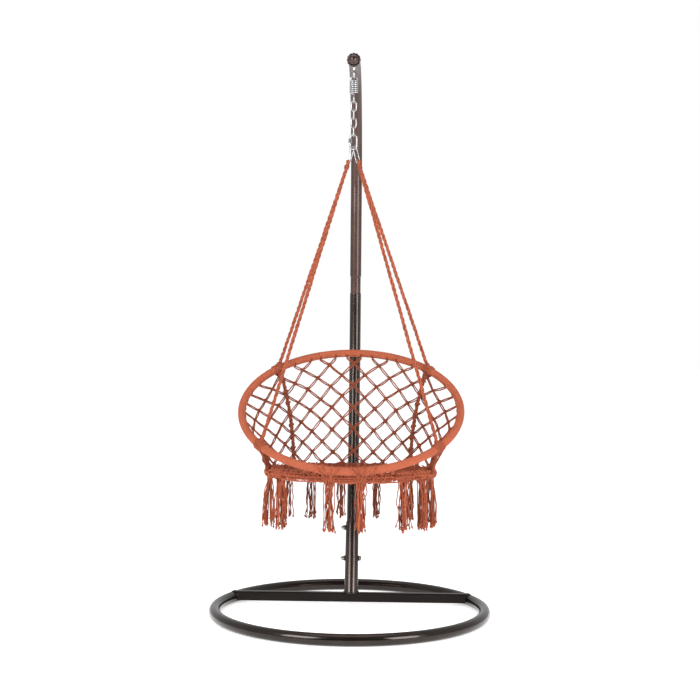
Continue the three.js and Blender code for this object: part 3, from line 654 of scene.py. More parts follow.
def eye_bolt():
    ez = (1925.8 - 2.9 - 4 - 0.3 + 13) * mm
    p = Piece()
    a = TAU * np.arange(96) / 96
    sweep(p, np.stack([0 * a, 13 * mm * np.sin(a), ez + 13 * mm * np.cos(a)], 1), 4 * mm, 24, closed=True, first=vec(1, 0, 0))
    top = 1.978 - R_TUBE
    turned(p, vec(0, 0, ez + 12.5 * mm), (0, 0, 1), [(0.2 * mm, 0), (4.6 * mm, 0.2 * mm), (4.9 * mm, 2.0 * mm), (5 * mm, top - ez - 15.5 * mm), (7.4 * mm, top - ez - 15.0 * mm), (7.6 * mm, top - ez - 13.0 * mm), (4 * mm, top - ez - 12.7 * mm)], 40)
    n = 200
    z = np.linspace(1.978 + R_TUBE - 2 * mm, 1.978 + R_TUBE + 6.6 * mm, n)
    th = TAU * np.arange(24) / 24
    tri = np.abs(((z[:, None] / (1.25 * mm) + th[None] / TAU) % 1) - 0.5) * 2
    rr = (3.5 + 0.45 * tri) * mm
    rr[-1] = 2.8 * mm
    loft(p, np.stack([rr * np.cos(th), rr * np.sin(th), np.broadcast_to(z[:, None], rr.shape)], -1))
    finish_piece(p.build("eye_bolt_forged", ZINC_BRIGHT, sharp=50), "stand", "eye_bolt", slot="zinc_fasteners")
    q = Piece()
    R = 13 * mm / 2 / math.cos(TAU / 12)
    turned(q, vec(0, 0, 1.978 + R_TUBE + 0.4 * mm), (0, 0, 1), [(4.0 * mm, 0), (R - 0.8 * mm, 0), (R, 0.6 * mm), (R, 4.4 * mm), (R - 0.8 * mm, 5 * mm), (4.6 * mm, 5 * mm), (4.0 * mm, 4.4 * mm)], 60, shape=hexed(13 * mm), closed=True)
    finish_piece(q.build("eye_bolt_top_nut", ZINC_BRIGHT, sharp=30), "stand", "eye_bolt_nut", slot="zinc_fasteners")


# ------------------------------------------------------------------ spring, chain, screw link, rope rings
def spring():
    R, w = 13.1 * mm, 2.9 * mm
    a = np.linspace(-0.55, math.pi, 30)
    top = np.stack([-R * np.cos(a), 0 * a, 1925.8 * mm - R + R * np.sin(a)], 1)
    t = np.linspace(0, 1, 260)
    b = -t * 6.75 * TAU
    zc = 1909.5 * mm + t * (1865.1 - 1909.5) * mm
    coil = np.stack([R * np.cos(b), R * np.sin(b), zc], 1)
    c = 1832.7 * mm + R
    drop = np.stack([np.zeros(5), np.full(5, R), np.linspace(1861.0 * mm, c, 5)], 1)
    a = np.linspace(0, rad(262), 36)[1:]
    low = np.stack([0 * a, R * np.cos(a), c - R * np.sin(a)], 1)
    path = even(np.concatenate([top, coil[2:], drop, low]), 1.7 * mm)
    k = np.ones(5) / 5          # rounds the two bends
    sm = np.stack([np.convolve(np.pad(path[:, i], 2, "edge"), k, "valid") for i in range(3)], 1)
    sm[0], sm[-1] = path[0], path[-1]
    p = Piece()
    r = np.full(len(sm), w)
    r[0], r[-1] = w * 0.8, w * 0.8
    sweep(p, sm, r[None], 16)
    ob = p.build("spring_wire", ZINC_BRIGHT)
    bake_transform(ob)
    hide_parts("spring_upper_hook", "spring_coil", "spring_lower_hook")


def link_path(r, l, n=24):
    h = (l - 2 * r) / 2
    a = np.linspace(0, math.pi, n)
    top = np.stack([r * np.cos(a), 0 * a, h + r * np.sin(a)], 1)
    low = np.stack([-r * np.cos(a), 0 * a, -h - r * np.sin(a)], 1)
    return even(np.concatenate([top, low]), 1.6 * mm, closed=True)


def spin_z(p, t):
    c, s = math.cos(t), math.sin(t)
    return np.stack([p[:, 0] * c - p[:, 1] * s, p[:, 0] * s + p[:, 1] * c, p[:, 2]], 1)


def chain():
    bottom, wire = 1832.7, 2.9
    for i in range(1, 5):
        top = bottom + wire + 2.4 + 0.3
        path = link_path(8.8 * mm, 34.8 * mm)
        # the butt weld swells one side
        swell = 1 + 0.16 * np.exp(-((path[:, 2] / (1.6 * mm)) ** 2)) * (path[:, 0] > 0)
        if i % 2 == 0:
            path = spin_z(path, math.pi / 2)
        path = path + vec(0, 0, (top - 17.4) * mm)
        p = Piece()
        sweep(p, path, (2.4 * mm * swell)[None], 18, closed=True, first=vec(0, 1, 0) if i % 2 else vec(1, 0, 0))
        finish_piece(p.build(f"chain_link_{i}_welded", ZINC_BRIGHT), f"link_{i}", f"chain_link_{i}", slot="zinc_suspension")
        bottom, wire = top - 34.8, 2.4
    return bottom


def screw_link(chain_bottom):
    r, l = 11.35 * mm, 51 * mm
    qt = (chain_bottom + 2.4 + 3 + 0.3) * mm
    qz = qt - l / 2
    h = l / 2 - r
    a = np.linspace(math.pi, 0, 28)
    top = np.stack([r * np.cos(a), 0 * a, qz + h + r * np.sin(a)], 1)
    low = np.stack([r * np.cos(-a[::-1]), 0 * a, qz - h + r * np.sin(-a[::-1])], 1)
    start = np.stack([np.full(4, -r), np.zeros(4), np.linspace(qz + 11 * mm, qz + h, 5)[:-1]], 1)
    end = np.stack([np.full(6, -r), np.zeros(6), np.linspace(qz - h, qz + 3 * mm, 7)[1:]], 1)
    path = even(np.concatenate([start, top, low, end]), 1.2 * mm)
    p = Piece()
    s = along(path[None])[0]
    rr = np.full(len(path), 3 * mm)
    # cut thread at both ends of the gap
    left = path[:, 0] < -r + 1e-4
    thread = left & (np.abs(path[:, 2] - qz - 4 * mm) < 11 * mm)
    rr = np.where(thread, (2.8 + 0.22 * np.cos(s / (0.5 * mm))) * mm, rr)
    sweep(p, path, rr[None], 20, first=vec(0, 1, 0))
    finish_piece(p.build("screw_link_body", ZINC_BRIGHT), "quick_link", "quick_link", slot="zinc_suspension")
    q = Piece()
    R = 11 * mm / 2 / math.cos(TAU / 12)
    turned(q, vec(-r, 0, qz - 4 * mm), (0, 0, 1), [(3.35 * mm, 0), (R - 1.6 * mm, 0), (R - 0.5 * mm, 0.8 * mm), (R, 2.2 * mm), (R, 13.8 * mm), (R - 0.5 * mm, 15.2 * mm), (R - 1.6 * mm, 16 * mm), (3.35 * mm, 16 * mm)], 60, shape=hexed(11 * mm), closed=True)
    finish_piece(q.build("screw_link_sleeve", ZINC_BRIGHT, sharp=30), "quick_link_nut", "quick_link_nut", slot="zinc_suspension")
    return qz, l


def rope_rings(qz, l):
    top = qz - l / 2 + (3 + 2 + 4.4) * mm
    ends = {}
    for side, sg in (("left", -1), ("right", 1)):
        path = link_path(9 * mm, 62 * mm) + vec(0, 0, -31 * mm)
        path = spin_z(path, math.pi / 4)
        t = -sg * rad(15)          # turn about Y
        c, s = math.cos(t), math.sin(t)
        path = np.stack([path[:, 0] * c + path[:, 2] * s, path[:, 1], -path[:, 0] * s + path[:, 2] * c], 1)
        path = path + vec(sg * 2.7 * mm, 0, top)
        p = Piece()
        sweep(p, path, 2 * mm, 14, closed=True, first=unit(np.cross(path[4] - path[0], path[30] - path[0])))
        finish_piece(p.build(f"rope_ring_{side}_welded", ZINC_BRIGHT), "chair", f"rope_ring_{side}", slot="zinc_suspension")
        ends[side] = vec(sg * (2.7 + 62 * math.sin(rad(15))), 0, top / mm - 62 * math.cos(rad(15))) * mm
    return ends


# ------------------------------------------------------------------ chair rings
class Ring:
    def __init__(self, R, y, z, tilt, wrap):
        self.R, self.wrap = R * mm, wrap * mm
        self.c = vec(0, y, z) * mm
        t = rad(tilt)
        self.e1, self.e2, self.e3 = vec(1, 0, 0), vec(0, math.cos(t), math.sin(t)), vec(0, -math.sin(t), math.cos(t))

    def radial(self, a):
        a = np.asarray(a, float)[..., None]
        return np.cos(a) * self.e1 + np.sin(a) * self.e2

    def at(self, a, phi=None, r=0.0):
        """A point at angle a round the ring; with phi and r, off the centreline."""
        e = self.radial(a)
        p = self.c + self.R * e
        if phi is not None:
            phi = np.asarray(phi, float)[..., None]
            p = p + np.asarray(r)[..., None] * (np.cos(phi) * e + np.sin(phi) * self.e3)
        return p


HOOP = Ring(390, 0, 745.5, 27.6, 14)
SEAT = Ring(288, -20, 523, -3.6, 13.5)
REAR, FRONT = 44.2, -38.0


def winding(ring, name, steel, node, pitch=4.2 * mm):
    turns = int(round(TAU * ring.R / pitch))
    n = turns * 5
    S = 26
    a = TAU * np.arange(n) / n
    th = TAU * np.arange(S) / S
    ph = (turns * np.arange(n) / n)[:, None] + th[None] / TAU
    ridge = np.abs(np.cos(math.pi * ph))          # one cord's crown for each turn
    seed = np.interp(a * 1.0, np.linspace(0, TAU, 97), np.concatenate([rng.normal(0, 0.16, 96), [0.0]]))
    r = ring.wrap - 0.75 * mm + 0.75 * mm * (1 - (1 - ridge) ** 2) + seed[:, None] * 0.6 * mm
    e = ring.radial(a)
    V = ring.c + ring.R * e[:, None] + r[..., None] * (np.cos(th)[None, :, None] * e[:, None] + np.sin(th)[None, :, None] * ring.e3)
    p = Piece()
    # counter-clockwise seen along the ring's own direction
    V = V[:, ::-1]
    # the seat ring's winding is toned darker (-0.52) than the hoop's: painted shade in the gaps between the cords tied
    # round it
    p.grid(V[None], (a * ring.R)[None], closed=True, caps=False, tone=0.0 if ring is HOOP else -0.52)
    finish_piece(p.build(name, WOUND), "chair", node, slot="wound_cord")
    st = Piece()
    a = TAU * np.arange(160) / 160
    sweep(st, ring.at(a), (9.5 if ring is HOOP else 8.0) * mm, 20, closed=True)
    finish_piece(st.build(name + "_core", STEEL), "chair", steel, slot="raw_steel_rings")


def wrap_coil(piece, ring, a0, a1, turns, r_path, r_cord, tone=0.0, start=0.0):
    n = max(24, int(abs(turns) * 22))
    t = np.linspace(0, 1, n)
    P = ring.at(a0 + (a1 - a0) * t, start + TAU * turns * t, np.full(n, r_path))
    sweep(piece, P, r_cord, 8, tone=tone)


# ------------------------------------------------------------------ ropes
def laid_rope(piece, path, R=6.5 * mm, strands=3, pitch=64 * mm, sides=10, step=3.0 * mm, taper=None, tone=0.0, loose=0.05):
    P = even(np.asarray(path, float), step)[None]
    T, N, B = frames(P)
    s = along(P)
    rh = R * 0.54
    rs = R * 0.48
    for k in range(strands):
        f = TAU * (k / strands + s / pitch) + 0.25 * np.sin(s / (37 * mm) + 2.1 * k)
        swell = 1 + loose * np.sin(s / (13 * mm) + 1.9 * k) + loose * np.sin(s / (29 * mm) + 0.7 * k)
        Q = P + rh * swell[..., None] * (np.cos(f)[..., None] * N + np.sin(f)[..., None] * B)
        r = rs * swell
        if taper is not None:
            r = r * taper(s[0] / s[0, -1])[None]
        sweep(piece, Q, r, sides, tone=tone + 0.09 * (k - 1) + rng.normal(0, 0.02))
    return P[0]


def bound(piece, centre, axis, r1, r2, turns=4, pitch=3.3 * mm, r_cord=1.8 * mm, tone=0.0, lean=0.8 * mm, wide=None):
    """A whipping: turns of cord side by side round an axis."""
    x, y, z = basis(axis)
    if wide is not None:
        x = unit(wide - (wide @ z) * z)
        y = np.cross(z, x)
    t = np.linspace(0, 1, max(40, int(turns * 24)))
    f = TAU * turns * t
    P = centre + np.cos(f)[:, None] * x * r1 + np.sin(f)[:, None] * y * r2 + ((t - 0.5) * turns * pitch + lean * np.sin(f))[:, None] * z
    sweep(piece, P, r_cord, 7, tone=tone)


def suspension(ends):
    rope_info = {}
    for side, sg in (("left", -1), ("right", 1)):
        E = ends[side]
        at = {}
        for place, deg in (("front", FRONT), ("rear", REAR)):
            h = HOOP.at(rad(deg))
            at[place] = vec(sg * h[0], h[1], h[2])
        start = {p: E + vec(sg * 1.6, dy, -5.2) * mm for p, dy in (("front", -7.4), ("rear", 7.4))}
        foot = {}
        for p in at:
            d = unit(at[p] - start[p])
            foot[p] = at[p] - d * 15.5 * mm
        # up from the hoop's front, over the ring's lower wire, and down to its rear
        mid = [E + vec(sg * 1.2, -8.0, 3.5) * mm, E + vec(sg * 0.6, -5.6, 8.2) * mm, E + vec(sg * 0.3, 0, 10.0) * mm,
               E + vec(sg * 0.6, 5.6, 8.2) * mm, E + vec(sg * 1.2, 8.0, 3.5) * mm]
        f = foot["front"] + (start["front"] - foot["front"]) * np.linspace(0, 1, 12)[:, None]
        r = start["rear"] + (foot["rear"] - start["rear"]) * np.linspace(0, 1, 12)[:, None]
        path = smooth_path(np.concatenate([f, mid, r]), 2.5 * mm)
        p = Piece()
        core = laid_rope(p, path)
        ob = finish_piece(p.build(f"suspension_rope_{side}", ROPE), "chair", f"rope_front_{side}", f"rope_rear_{side}", slot="twisted_rope")
        rope_info[side] = (ob, core)
        # a whipping binds the two legs under the ring
        w = Piece()
        bound(w, E + vec(sg * 4.6, 0, -13) * mm, vec(sg * 0.27, 0, -1), 16.6 * mm, 7.4 * mm, turns=4, pitch=3.5 * mm, r_cord=1.9 * mm, tone=-0.08, wide=vec(0, 1, 0))
        finish_piece(w.build(f"rope_whipping_{side}", ROPE), "chair", slot="twisted_rope")
        # lashings where the rope meets the hoop
        for place, deg in (("front", FRONT), ("rear", REAR)):
            q = Piece()
            a0 = rad(deg if sg > 0 else 180 - deg)
            wrap_coil(q, HOOP, a0 - rad(3.0), a0 + rad(3.0), 9.3, 15.7 * mm, 2.3 * mm, start=1.0, tone=-0.02)
            for t0, t1 in ((-2.4, 1.6), (2.0, -2.2)):
                wrap_coil(q, HOOP, a0 + rad(t0), a0 + rad(t1), 1.2, 17.6 * mm, 2.2 * mm, start=0.6 + t0, tone=-0.05)
            # the rope's own turn, laid over the coil, towards the ring above
            d = unit(at[place] - start[place])
            bound(q, at[place] - d * 19 * mm, d, 8.3 * mm, 8.3 * mm, turns=3, pitch=3.9 * mm, r_cord=2.1 * mm, tone=-0.02)
            finish_piece(q.build(f"lashing_{place}_{side}_turns", ROPE), "chair", f"lashing_{place}_{side}", slot="twisted_rope")
        # below the hoop: rear rope inside the net, plaited bundle at the front
        for place, sdeg in (("rear", 39.2), ("front", -13.0)):
            h = at[place]
            q = SEAT.at(rad(sdeg))
            q = vec(sg * q[0], q[1], q[2])
            inward = unit(vec(-h[0], -h[1], 0))
            a, b = h.copy(), q.copy()
            if place == "rear":
                a, b = a + inward * 12 * mm, b + inward * 13 * mm
            d = unit(b - a)
            w = Piece()
            if place == "rear":
                a, b = a + d * 10 * mm, b - d * 8 * mm
                mid = (a + b) / 2 + vec(-sg * 27, -3, 0) * mm
                t = np.linspace(0, 1, 15)[:, None]
                route = smooth_path((1 - t) ** 2 * a + 2 * t * (1 - t) * mid + t ** 2 * b, 3 * mm)
                # the rear rope, its hitches and its knot are toned darker (-0.30 to -0.25): painted shade inside the
                # net
                laid_rope(w, route, R=7.0 * mm, pitch=46 * mm, tone=-0.30)
                # hitches where the net's cords are tied round it
                for f in np.linspace(0.10, 0.93, 8):
                    k = int(f * (len(route) - 1))
                    c, dd = route[k], unit(route[min(k + 2, len(route) - 1)] - route[max(k - 2, 0)])
                    bound(w, c, dd, 8.6 * mm, 8.6 * mm, turns=2.4, pitch=3.8 * mm, r_cord=2.1 * mm, tone=-0.28, lean=1.8 * mm)
                # the bulky knot right under the hoop
                for k, (rr, dz) in enumerate(((9.0, 7), (10.2, 12), (9.2, 17), (8.4, 22))):
                    bound(w, a + d * dz * mm, d + 0.25 * (-1) ** k * inward, rr * mm, rr * mm, turns=1.6, pitch=3 * mm, r_cord=2.5 * mm, tone=-0.25, lean=1.6 * mm)
                name, node = f"rear_rope_inside_net_{side}", f"rope_lower_rear_{side}"
            else:
                a, b = a + d * 13 * mm, b - d * 9 * mm
                L = np.linalg.norm(b - a)
                x, y, z = basis(d)
                t = np.linspace(0, 1, 90)
                for k in range(3):
                    ph = TAU * (t * L / (74 * mm) + k / 3)
                    wide = (6.0 + 5.5 * t) * mm
                    path = a + (b - a) * t[:, None] + (np.sin(ph) * wide)[:, None] * x + (np.cos(ph) * 4.6 * mm)[:, None] * y
                    laid_rope(w, path, R=4.6 * mm, strands=3, pitch=27 * mm, sides=7, step=2.2 * mm, tone=-0.16 - 0.08 * (k % 2), loose=0.09)
                # loose cords beside the plait, tied side by side along both rings
                for k in range(14):
                    side_d = (x * math.cos(k * 0.95 + 0.4) + y * 0.6 * math.sin(k * 0.95 + 0.4))
                    own, turns_k = rng.uniform(0.8, 1.3), rng.uniform(1.2, 3.2)
                    path = a + (b - a) * t[:, None] + (((0.62 + 0.38 * np.sin(math.pi * t) ** 0.5) * (10 + 5 * t) * own + 2.2 * np.sin(TAU * t * turns_k + k * 1.7)) * mm)[:, None] * side_d + (np.sin(TAU * t * 2.5 + k) * 1.5 * mm)[:, None] * y
                    sweep(w, even(path, 4 * mm), 2.0 * mm, 6, tone=rng.normal(-0.05, 0.20))
                bound(w, a + d * 6 * mm, d, 10.4 * mm, 8.6 * mm, turns=3.4, pitch=3.6 * mm, r_cord=1.9 * mm)
                bound(w, b - d * 6 * mm, d, 13.6 * mm, 9.0 * mm, turns=3.4, pitch=3.6 * mm, r_cord=1.9 * mm, tone=-0.03)
                name, node = f"front_plait_{side}", f"rope_bundle_front_{side}"
            finish_piece(w.build(name, ROPE), "chair", node, slot="twisted_rope")
    return rope_info


# ------------------------------------------------------------------ nets
LO, HI, LEAN_NET = -27.0, 207.0, 31.0


def knot_at(k, i):
    """Angle and share of the way down of the knot in row k, i half meshes to the right: rows hang nearly level, 41 mm apart."""
    n, i2 = abs(i), i * i
    off = n * (7.266 - 0.2075 * k + 0.02297 * k * k + 0.01474 * i2 - 0.000962 * i2 * k)
    z = (929.4 - 40.81 * k - 1.9546 * i2 + 0.29082 * i2 * k - 0.0078916 * i2 * k * k + 0.0097558 * i2 * i2 - 0.0010996 * i2 * i2 * k) * mm
    a = 90 - math.copysign(off, i)
    hz, qz = HOOP.at(rad(a))[2], SEAT.at(rad(a))[2]
    return a, float((hz - z) / (hz - qz))


def net_len(a_deg):
    a = np.radians(np.asarray(a_deg, float))
    return np.linalg.norm(SEAT.at(a) - HOOP.at(a), axis=-1)


def net_frame(a_deg, f):
    """Point, down, round and outward directions at angle a and share f of the way from the hoop to the seat ring."""
    a = np.radians(np.asarray(a_deg, float))
    p, q = HOOP.at(a), SEAT.at(a)
    d = q - p
    L = np.linalg.norm(d, axis=-1, keepdims=True)
    d = d / L
    tan = unit(HOOP.at(a + 0.01) - HOOP.at(a - 0.01) + SEAT.at(a + 0.01) - SEAT.at(a - 0.01))
    n = unit(np.cross(tan, d))
    return p + d * L * np.asarray(f, float)[..., None], d, tan, n


def doubled(piece, A, B, nA, gap=2.6 * mm, r=2.35 * mm, n=11, hang=1.4 * mm, sides=6, lift=0.0):
    """Two cords side by side from A to B (M, 3), bowing apart between; nA is the surface's normal."""
    M = len(A)
    if not M:
        return
    t = np.linspace(0, 1, n)[None, :, None]
    axis = unit(B - A)
    side = unit(np.cross(axis, nA))
    bow = np.sin(math.pi * t) ** 0.8
    line = A[:, None] + (B - A)[:, None] * t
    wander = rng.normal(0, 0.9 * mm, (M, 1, 1)) * np.sin(TAU * t * 0.5)
    sag = vec(0, 0, -1) * hang * np.sin(math.pi * t)
    for k in (-1, 1):
        own = rng.uniform(0.45, 1.55, (M, 1, 1))
        twist = rng.normal(0, 0.5 * mm, (M, 1, 1)) * np.sin(TAU * t)
        P = line + side[:, None] * (k * (1.9 * mm + gap * own * bow * 0.5) + wander) + nA[:, None] * (twist + lift) + sag
        sweep(piece, P, r, sides, tone=rng.normal(0, 0.045, M))


def knots(piece, C, d, tan, n, wide=6.2 * mm, thick=4.6 * mm, r=2.6 * mm, bars=3, tall=4.0 * mm):
    """Square knots: stacked turns round the four cords, each leaning the other way."""
    M = len(C)
    if not M:
        return
    t = TAU * np.arange(14) / 14
    turn = rng.normal(0, 0.22, (M, 1))
    tan2 = tan * np.cos(turn) + d * np.sin(turn)
    d2 = d * np.cos(turn) - tan * np.sin(turn)
    for b in range(bars):
        k = b - (bars - 1) / 2
        tiltdir = 1 if b % 2 else -1
        spread = wide * (1.0 if abs(k) < 0.6 else 0.80) * rng.uniform(0.86, 1.12, (M, 1, 1))
        P = (C[:, None] + tan2[:, None] * np.cos(t)[None, :, None] * spread + n[:, None] * np.sin(t)[None, :, None] * thick
             + d2[:, None] * (k * tall + tiltdir * 1.3 * mm * np.cos(t)[None, :, None]))
        sweep(piece, P, r * rng.uniform(0.92, 1.1), 7, closed=True, tone=rng.normal(-0.07, 0.03, M))


def back_net():
    p = Piece()
    f_top, f_low = 0.036, 0.975
    exist = {}
    for k in range(1, 11):
        for i in range(-14, 15):
            if (i + k) % 2 == 0:
                continue
            a, f = knot_at(k, i)
            L = float(net_len(a)) / mm
            if k == 10:
                f = min(f, 1 - 21 / L)
            least = 33 if abs(i) <= 5 else 57
            if f * L >= least and (1 - f) * L >= 20.5 and LO + LEAN_NET * f + 2 <= a <= HI - LEAN_NET * f - 2:
                exist[(k, i)] = (a, f)
    keys = list(exist)
    ang = np.array([exist[q][0] for q in keys])
    frac = np.array([exist[q][1] for q in keys])
    # small unevenness of hand-tied knots
    jit_a, jit_f = rng.normal(0, 0.25, len(keys)), rng.normal(0, 0.0045, len(keys))
    C, d, tan, n = net_frame(ang + jit_a, frac + jit_f)
    where = {q: u for u, q in enumerate(keys)}
    knots(p, C, d, tan, n)
    A, B, N = [], [], []
    hoop_a, feet = [], []

    def leave(i, to):
        """The point where a cord leaves knot i towards to."""
        return C[i] + unit(to - C[i]) * 5.0 * mm

    def join(a, b, nn):
        A.append(a)
        B.append(b)
        N.append(nn)

    def edge(a0, f0, am, fm):
        """Where the way from one mesh corner to the next meets the hoop, the seat ring or the net's own edge."""
        for t in np.linspace(0.05, 1.3, 60):
            a, f = a0 + (am - a0) * t, f0 + (fm - f0) * t
            if f <= f_top:
                return a, f_top, "hoop"
            if f >= f_low:
                return a, f_low, "seat"
            if not LO + LEAN_NET * f < a < HI - LEAN_NET * f:
                return a, f, "side"
        return (a, f_top, "hoop") if fm < f0 else (a, f_low, "seat")
    for (k, i), u in where.items():
        a0, f0 = exist[(k, i)]
        for dk, di in ((1, -1), (1, 1), (-1, -1), (-1, 1)):
            o = (k + dk, i + di)
            if o in where:
                if dk > 0:
                    v = where[o]
                    join(leave(u, C[v]), leave(v, C[u]), n[u])
                continue
            am, fm = knot_at(*o)
            a, f, kind = edge(a0, f0, am, fm)
            if kind == "seat":
                left = (f_low - f0) * float(net_len(a0)) / mm
                a = a0 - di * (1.7 + 0.06 * left)
                feet.append(a)
            elif kind == "hoop":
                hoop_a.append(a)
            E = net_frame(np.array([a]), np.array([f]))[0][0]
            join(leave(u, E), E, n[u])
    # the outermost cords of each end run down the net's edge
    for side, sg in ((LO, 1), (HI, -1)):
        for shift in (0.4, 2.2):
            fs = np.linspace(f_top, f_low, 8)
            aa = side + sg * (LEAN_NET * fs + shift) + rng.normal(0, 0.35, 8)
            E, _, _, nE = net_frame(aa, fs)
            for u in range(7):
                join(E[u], E[u + 1], nE[u])
    doubled(p, np.array(A), np.array(B), np.array(N))
    # lark's heads on the hoop: two turns round it at each pair of cords
    loops(p, HOOP, hoop_a, 14.2 * mm, 1.35 * mm, spread=1.7, half=80, tone=-0.06)
    finish_piece(p.build("back_net_cords", NET), "chair", "back_net", slot="knotted_net")
    return feet


def loops(piece, ring, degs, r_path, r_cord, spread=1.4, half=None, tone=-0.02, lean=0.0018):
    """Turns of cord round a ring. half limits each to an arc facing down and inward, in degrees."""
    for deg in degs:
        for k in (-1, 1):
            a = rad(deg) + k * spread * mm / ring.R
            if half is None:
                t = TAU * np.arange(26) / 26
                P = ring.at(a + lean * np.sin(t + k), t, np.full(26, r_path))
                sweep(piece, P, r_cord, 6, closed=True, tone=tone + rng.normal(0, 0.03))
            else:
                c = rad(-120)
                t = np.linspace(c - rad(half), c + rad(half), 16)
                P = ring.at(np.full(16, a), t, np.full(16, r_path))
                sweep(piece, P, r_cord, 6, tone=tone + rng.normal(0, 0.03))


def seat_net():
    p = Piece()
    R_in = SEAT.R - 12.5 * mm
    sag = 38 * mm
    R_dish = SEAT.R - SEAT.wrap - 4 * mm

    def on_dish(x, y):
        r = np.hypot(x, y)
        z = -sag * np.clip(1 - (r / R_dish) ** 2, 0, 1)
        return SEAT.c + x[..., None] * SEAT.e1 + y[..., None] * SEAT.e2 + z[..., None] * SEAT.e3
    step = 37 * mm
    knots_xy = []
    have = {}
    for i in range(-9, 10):
        for j in range(-9, 10):
            if (i + j) % 2:
                continue
            x, y = i * step * 0.94, j * step
            if math.hypot(x, y) < R_in - 9 * mm:
                have[(i, j)] = len(knots_xy)
                knots_xy.append((x, y))
    xy = np.array(knots_xy)
    C = on_dish(xy[:, 0], xy[:, 1])
    # directions on the dish
    eps = 1 * mm
    d = unit(on_dish(xy[:, 0], xy[:, 1] - eps) - C)
    tan = unit(on_dish(xy[:, 0] + eps, xy[:, 1]) - C)
    n = unit(np.cross(tan, d))
    knots(p, C, d, tan, n, thick=3.6 * mm)
    A, B, N = [], [], []
    seat_at = []
    for (i, j), k in have.items():
        for di, dj in ((1, 1), (1, -1), (-1, 1), (-1, -1)):
            o = (i + di, j + dj)
            if o in have:
                if di > 0:
                    m = have[o]
                    A.append(C[k])
                    B.append(C[m])
                    N.append(n[k])
            else:
                v = vec(di * 0.94, dj)
                v = v / np.linalg.norm(v)
                b = 2 * (xy[k] @ v)
                c = xy[k] @ xy[k] - R_in ** 2
                s = (-b + math.sqrt(b * b - 4 * c)) / 2
                e = xy[k] + v * s
                A.append(C[k])
                B.append(on_dish(np.array([e[0]]), np.array([e[1]]))[0])
                N.append(n[k])
                seat_at.append(math.degrees(math.atan2(e[1], e[0])))
    doubled(p, np.array(A), np.array(B), np.array(N), hang=0.5 * mm)
    finish_piece(p.build("seat_net_cords", NET), "chair", "seat_net", slot="knotted_net")
    return seat_at


